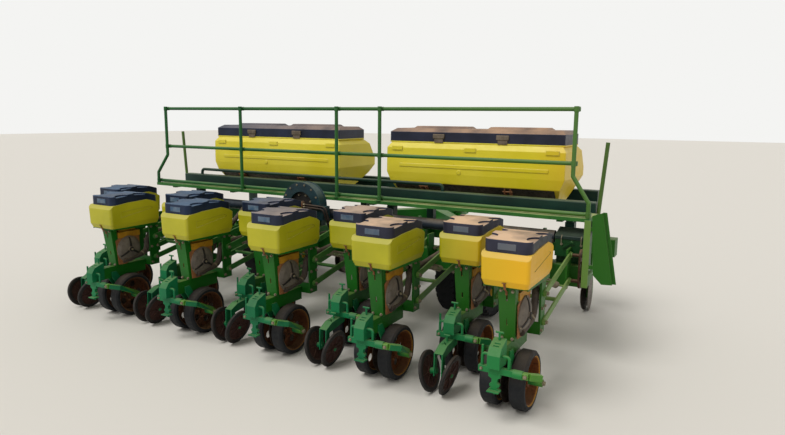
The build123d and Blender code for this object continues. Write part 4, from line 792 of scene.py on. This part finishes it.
dress(["vacuum_fan"], fan_enamel,
      (black_iron, lambda p: from_fan(p) < FAN_EYE and FAN_DEPTH[0] < p.y - FAN.y < FAN_DEPTH[1]),
      (rust, lambda p: from_fan(p) < FAN_MOTOR and p.y < FAN.y))
ring = bmesh.new()
for i in range(FAN_BOLTS):
    a = 2 * pi * (i + 0.5) / FAN_BOLTS
    b = pi * i / (FAN_BOLTS - 1)
    bolt(ring, FAN + Vector((FAN_RING * cos(a), 0.030, FAN_RING * sin(a))), (0, -1, 0), 0.020)
    bolt(ring, FAN + Vector((FAN_RIM * cos(b), 0, FAN_RIM * sin(b))), (0, -1, 0), 0.016)
# The motor's end nut and the unions of its two hoses
disc(ring, turned_to(FAN + Vector((0, -0.034, 0)), (0, -1, 0)), 0.030, 0, 0.010, 6, 0.003)
for drop in (0.0, 0.024):
    disc(ring, turned_to(FAN + Vector((0.0415, -0.017, 0.014 - drop)), (1, 0, 0)), 0.0115, 0, 0.022, 6, 0.002)
fit("fan_bolts", "chassis", ring, zinc)


# Fertiliser hoppers with their lids and troughs. Rotationally moulded polyethylene shells over a
# galvanised trough that is dark with old fertiliser; the lids are the same navy plastic as the small ones.
FERT = (0.300, 2.140)      # a hopper's ends, from the middle line
FERT_REAR = 1.900 + BACK
LID_REAR = 1.940 + BACK
TROUGH_FOOT = 1.1192       # the trough's black iron outlets are below this Z
BOSS = (0.44, 1.425)       # share of the hopper's length, Z
CATCH_SHARES = (0.31, 0.67)
# A catch's grip and its hook: half width, Y from the lid's rear edge to both sides, Z below and above
CATCH = ((0.062, -0.016, 0.002, 1.748, 1.792), (0.048, -0.010, 0.004, 1.706, 1.752))
BRACKET_SHARES = (0.22, 0.70)
BRACKET_GAP = 0.055
BRACKET = ((1.9025, 1.298), (1.8780, 1.298), (1.8780, 1.250), (1.9980, 1.158), (2.0175, 1.168))
BRACKET_HALF = 0.003

# The same polyethylene without the seed hoppers' painted shade: a clear lemon yellow with wide soft
# highlights, going golden at the right-hand tip as painted sunlight
lemon = weathered("lemon_polyethylene", "#DECC18", "#EBDA3C", "#8C7C24", "#C9BA72", patch=640, mark=70,
                  soil_share=0.14, dust_share=0.4, rough=(0.32, 0.45), grain=6, relief=0.06, gloss=0.4,
                  corner=8.0, worn="#E4D870", right=("#DDB21C", 1.7, 2.2))
# Lid plastic high up in the dust: navy sides, tops grey with a painted sky reflection that go to sand
# coloured dust towards the right
wide_lid_plastic = weathered("dusty_navy_plastic", "#081429", "#10223F", "#070C16", "#C29C7A", patch=300,
                             mark=40, soil_share=0.25, dust_share=0.9, rough=(0.3, 0.45), grain=3,
                             relief=0.15, gloss=0.25, corner=8.0, worn="#3C5170",
                             dusty=(-2.6, 1.2, "#505C6C"))
# Zinc coat eaten by fertiliser: dark olive grey with blotches and hardly any shine
trough = weathered("stained_galvanised_sheet", "#3E3A33", "#57503F", "#2A211A", "#8E7A58", patch=180, mark=26,
                   soil_share=0.7, dust_share=0.4, rough=(0.45, 0.7), metal=0.5, grain=5, relief=0.25)
# Rubber catches full of dust: flat grey brown against the navy lid
dusty_catch = weathered("dusty_rubber_catch", "#5C5145", "#75685A", "#241E18", "#A08A6C", patch=60, mark=14,
                        soil_share=0.4, dust_share=0.9, rough=(0.5, 0.7))
dress(["fertiliser_hoppers"], lemon)
dress(["fertiliser_lid_left", "fertiliser_lid_right"], wide_lid_plastic)
dress(["fertiliser_pans"], trough, (black_iron, lambda p: p.z < TROUGH_FOOT))

for side, word in SIDES:
    low, high = sorted(side * end + MIDDLE for end in FERT)
    catches = bmesh.new()
    for share in CATCH_SHARES:
        x = low + share * (high - low)
        for half, back, ahead, foot, top in CATCH:
            rear, front = LID_REAR + back, LID_REAR + ahead
            plan = ((x - half, rear), (x + half, rear), (x + half, front), (x - half, front))
            wrap(catches, [[(px, py, z) for px, py in plan] for z in (foot, top)])
    fit(f"fertiliser_lid_catches_{word}", f"fertiliser_lid_{word}", catches, dusty_catch,
        edge=0.004)
    # Round boss below the belly
    boss = bmesh.new()
    place = turned_to((low + BOSS[0] * (high - low), FERT_REAR, BOSS[1]), (0, -1, 0))
    disc(boss, place, 0.024, -0.004, 0.007, 28, 0.004)
    disc(boss, place, 0.012, 0, 0.003, 20, 0.001)
    fit(f"fertiliser_hopper_boss_{word}", "chassis", boss, lemon)
    # Two pairs of plates with a pin carry the trough
    brackets = bmesh.new()
    for share in BRACKET_SHARES:
        x = low + share * (high - low)
        for plate in (x, x + BRACKET_GAP):
            wrap(brackets, [[(plate + half, y + BACK, z) for y, z in BRACKET]
                            for half in (-BRACKET_HALF, BRACKET_HALF)])
        tube(brackets, [(x - 0.02, 1.890 + BACK, 1.268), (x + 0.075, 1.890 + BACK, 1.268)], 0.006)
    fit(f"trough_brackets_{word}", "chassis", brackets, rust)


# Hopper stand, catwalk and handrail. Square tube in blue green, darkened by painted shade under the
# hoppers and painted as sunlit olive on the end uprights, a folded and slotted walkway sheet with dust on
# it, and round tube rails whose joints are held by clamps.
STAND_END = 2.455          # from the middle line, beyond which the end uprights stand
STAND_TOP = 1.26           # Z just above the stand's beams, where only the end uprights reach
RAIL_Y = 1.318 + BACK
RAIL = 0.017
RAIL_FOOT = 1.1702
RAIL_LEVELS = (1.195, 1.600, 2.030)
RAIL_ENDS = (-2.310, 2.345)
RAIL_INNER = (-1.170, 0.065, 0.550)
RAIL_LOW_END = 2.480       # the end clamps of the lowest level stand out to here
CLAMP = 0.044

# Enamel under the hoppers, darkened by painted shade: nearly black green, even, with paler edges
stand_painted_shade = weathered("painted_shade_stand_enamel", "#04241D", "#0A352C", "#0E1A15", "#6F7A58", mark=16,
                         soil_share=0.2, dust_share=0.5, worn="#3F6E58")
# The stand's enamel on the end uprights, with painted sunlight: a dry olive
painted_sunlit_olive = weathered("painted_sunlit_olive_enamel", "#3D5A20", "#51702E", "#2C2E16", "#9AA05C", mark=14,
                         soil_share=0.25, dust_share=0.5, worn="#86A05A")
# Enamel walked on and rained on: mid green sides, and a tread under pale dust towards the right
walk_sheet = weathered("dusty_walkway_enamel", "#1B5E1E", "#2B7228", "#22301A", "#A3AC72", patch=260, mark=24,
                       soil_share=0.3, dust_share=1.0, rough=(0.45, 0.65), worn="#86A05A",
                       dusty=(-3.4, 0.2, None))
# Enamel on thin tube: clean mid green, with a long highlight and little dust; painted sunlight makes it
# yellower towards the right end
rail_enamel = weathered("handrail_enamel", "#125026", "#20642A", "#1C2A18", "#7F8C58", mark=14,
                        soil_share=0.2, dust_share=0.4, worn="#5E8448", right=("#4A7230", -0.5, 2.3))
dress(["hopper_stand"], stand_painted_shade,
      (painted_sunlit_olive, lambda p: abs(p.x - MIDDLE) > STAND_END and p.z > STAND_TOP))
dress(["catwalk"], walk_sheet)
dress(["handrail"], rail_enamel)

sleeves = bmesh.new()
for x in (RAIL_ENDS[0], *RAIL_INNER, RAIL_ENDS[1]):
    for z in RAIL_LEVELS:
        place = x + MIDDLE
        width = CLAMP
        if z == RAIL_LEVELS[0] and x in RAIL_ENDS:
            place = (RAIL_LOW_END if x > 0 else -RAIL_LOW_END) + MIDDLE
            width = 0.034
        across = turned_to((place - width / 2, RAIL_Y + 2 * RAIL + 0.0003, z), (1, 0, 0))
        disc(sleeves, across, RAIL + 0.003, 0, width, 18, 0.001)
        bolt(sleeves, (place, RAIL_Y + 3 * RAIL + 0.001, z), (0, 1, 0), 0.017)
        upright = turned_to((place, RAIL_Y, z - CLAMP / 2), (0, 0, 1))
        disc(sleeves, upright, RAIL + 0.003, 0, CLAMP, 18, 0.001)
fit("rail_clamps", "chassis", sleeves, rail_enamel)

feet = bmesh.new()
for x in RAIL_INNER:
    disc(feet, turned_to((x + MIDDLE, RAIL_Y, RAIL_FOOT), (0, 0, 1)), 0.034, 0, 0.006, 24, 0.002)
fit("rail_feet", "chassis", feet, rail_enamel)


# Transport wheels. Twin road tyres with a blocky tread on yellow steel rims, under the frame between
# the toolbars.
ROAD = (1.250, 2.020 + BACK, 0.400)  # a pair's middle: X from the middle line, Y, Z
TWIN = 0.150               # from the pair's middle to each tyre's
ROAD_RIM = 0.2095          # radius inside which the wheel is rim
STUDS = 6
STUD_RING = 0.105
LUGS = 36
LUG_HALF = 0.3             # half a block's length, as a share of the step from block to block
# Outline of a tread block: distance out from the tyre's middle, radius
LUG = ((0.056, 0.3960), (0.056, 0.3995), (0.086, 0.3995), (0.0995, 0.386), (0.0995, 0.360), (0.094, 0.360))

# Thick wheel paint: a warm yellow that mud and rust break up
rim_enamel = weathered("yellow_wheel_enamel", "#C9A81E", "#D9BC3A", "#6A4A26", "#A88F62", patch=120, mark=14,
                       soil_share=0.35, dust_share=0.5, rough=(0.4, 0.6))


def road_radius(point):
    """Distance of a point from the axis of the transport wheels."""
    return Vector((point.y - ROAD[1], point.z - ROAD[2])).length


dress(["transport_wheels_left", "transport_wheels_right"], tyre_rubber,
      (rim_enamel, lambda p: road_radius(p) < ROAD_RIM))
for side, word in SIDES:
    body = f"transport_wheels_{word}"
    studs = bmesh.new()
    lugs = bmesh.new()
    for pair in (-1, 1):
        middle = side * ROAD[0] + MIDDLE + pair * TWIN
        for i in range(STUDS):
            bolt(studs, around(middle + pair * 0.0068, *ROAD[1:], STUD_RING, i / STUDS), (pair, 0, 0), 0.026)
        # Blocks of the tread fill the shoulders of each tyre, one shoulder half a step ahead
        for face in (-1, 1):
            for i in range(LUGS):
                shares = [(i + way + 0.25 * face) / LUGS for way in (-LUG_HALF, LUG_HALF)]
                wrap(lugs, [[around(middle + face * out, *ROAD[1:], r, share) for out, r in LUG]
                            for share in shares])
    fit(f"road_wheel_nuts_{word}", body, studs, zinc)
    fit(f"road_tyre_blocks_{word}", body, lugs, tyre_rubber, edge=0.002)


# Fertiliser openers on the front toolbar: green shanks with pairs of worn discs.
SHANK_HALF = 0.0152
SHANK_Y = 2.585 + BACK
dress(["fertiliser_openers"], worn_steel,
      (enamel, lambda p: abs(unit_place(p).x) < SHANK_HALF and p.y > SHANK_Y))


# Drive box, its chain and the side guard at the right-hand end. A sheet steel box in the frame's green
# under a dark folded lid, and a roller chain brown with rust and old oil.
BOX_X = (2.235 + MIDDLE, 2.497 + MIDDLE)
BOX_Y = (1.300 + BACK, 1.450 + BACK)
BOX_TOP = (1.010, 1.060)   # at the rear and at the front
LID_OVER = 0.006
LID_LIFT = (-0.024, 0.005)
CHAIN_FRONT = 1.2985 + BACK
GUARD_X = (2.489, 2.5405)  # from the middle line
GUARD_FRONT = 1.1565 + BACK
# Outline of the lever: X from the box's left side, Z
LEVER = ((0.060, 0.920), (0.072, 0.912), (0.120, 0.950), (0.158, 0.952), (0.150, 0.985), (0.128, 0.978),
         (0.100, 0.962))

# Chain under old oil: dark red brown, greasy where it isn't dusty
chain_steel = weathered("oily_rusted_chain", "#3E2A20", "#563A2A", "#1C1410", "#8B7055", patch=50, mark=8,
                        soil_share=0.6, rough=(0.45, 0.7), metal=0.5)
# Lid paint dulled by hands and weather: a flat green black with yellowish edges
lid_enamel = weathered("dark_lid_enamel", "#152A26", "#20352E", "#10190F", "#5E6450", mark=16, soil_share=0.3,
                       dust_share=0.5, worn="#8C8F62")
# The frame's enamel in the shade of the lid: a deep clean green
box_enamel = weathered("shaded_box_enamel", "#053A14", "#0B4E1A", "#141F10", "#5E6440", mark=16,
                       soil_share=0.3, dust_share=0.5, worn="#3F6E38")
dress(["drive_box"], box_enamel, (chain_steel, lambda p: p.y < CHAIN_FRONT))
# The guard's lip gets the lighter enamel as painted sunlight
dress(["side_guard"], enamel,
      (painted_sunlit_enamel, lambda p: GUARD_X[0] < p.x - MIDDLE < GUARD_X[1] and p.y < GUARD_FRONT))

# The lid's plate slopes up to the front and folds down over the box on all sides, held by two catches
lid_x = (BOX_X[0] - LID_OVER, BOX_X[1] + LID_OVER)
lid_y = (BOX_Y[0] - LID_OVER, BOX_Y[1] + LID_OVER)
profile = ((lid_y[0], BOX_TOP[0] + LID_LIFT[0]), (lid_y[0], BOX_TOP[0] + LID_LIFT[1]),
           (lid_y[1], BOX_TOP[1] + LID_LIFT[1]), (lid_y[1], BOX_TOP[1] + LID_LIFT[0]))
cover = bmesh.new()
wrap(cover, [[(x, y, z) for y, z in profile] for x in lid_x])
fit("drive_box_lid", "chassis", cover, lid_enamel, edge=0.004)
catches = bmesh.new()
for share in (0.2, 0.8):
    x = BOX_X[0] + share * (BOX_X[1] - BOX_X[0])
    line = ((0.002, 0.950), (-0.006, 0.956), (-0.008, 1.000), (0.010, 1.020))
    tube(catches, [(x, lid_y[0] + back, z) for back, z in line], 0.004)
    bolt(catches, (x, BOX_Y[0], 0.946), (0, -1, 0), 0.018)
fit("drive_box_catches", "chassis", catches, zinc)

# Flat lever on the box's rear face, turned up to the right
lever = bmesh.new()
wrap(lever, [[(BOX_X[0] + a, BOX_Y[0] + depth, z) for a, z in LEVER] for depth in (0.0005, -0.0120)])
bolt(lever, (BOX_X[0] + 0.136, BOX_Y[0] - 0.0115, 0.965), (0, -1, 0), 0.018)
fit("drive_box_lever", "chassis", lever, box_enamel, edge=0.001)
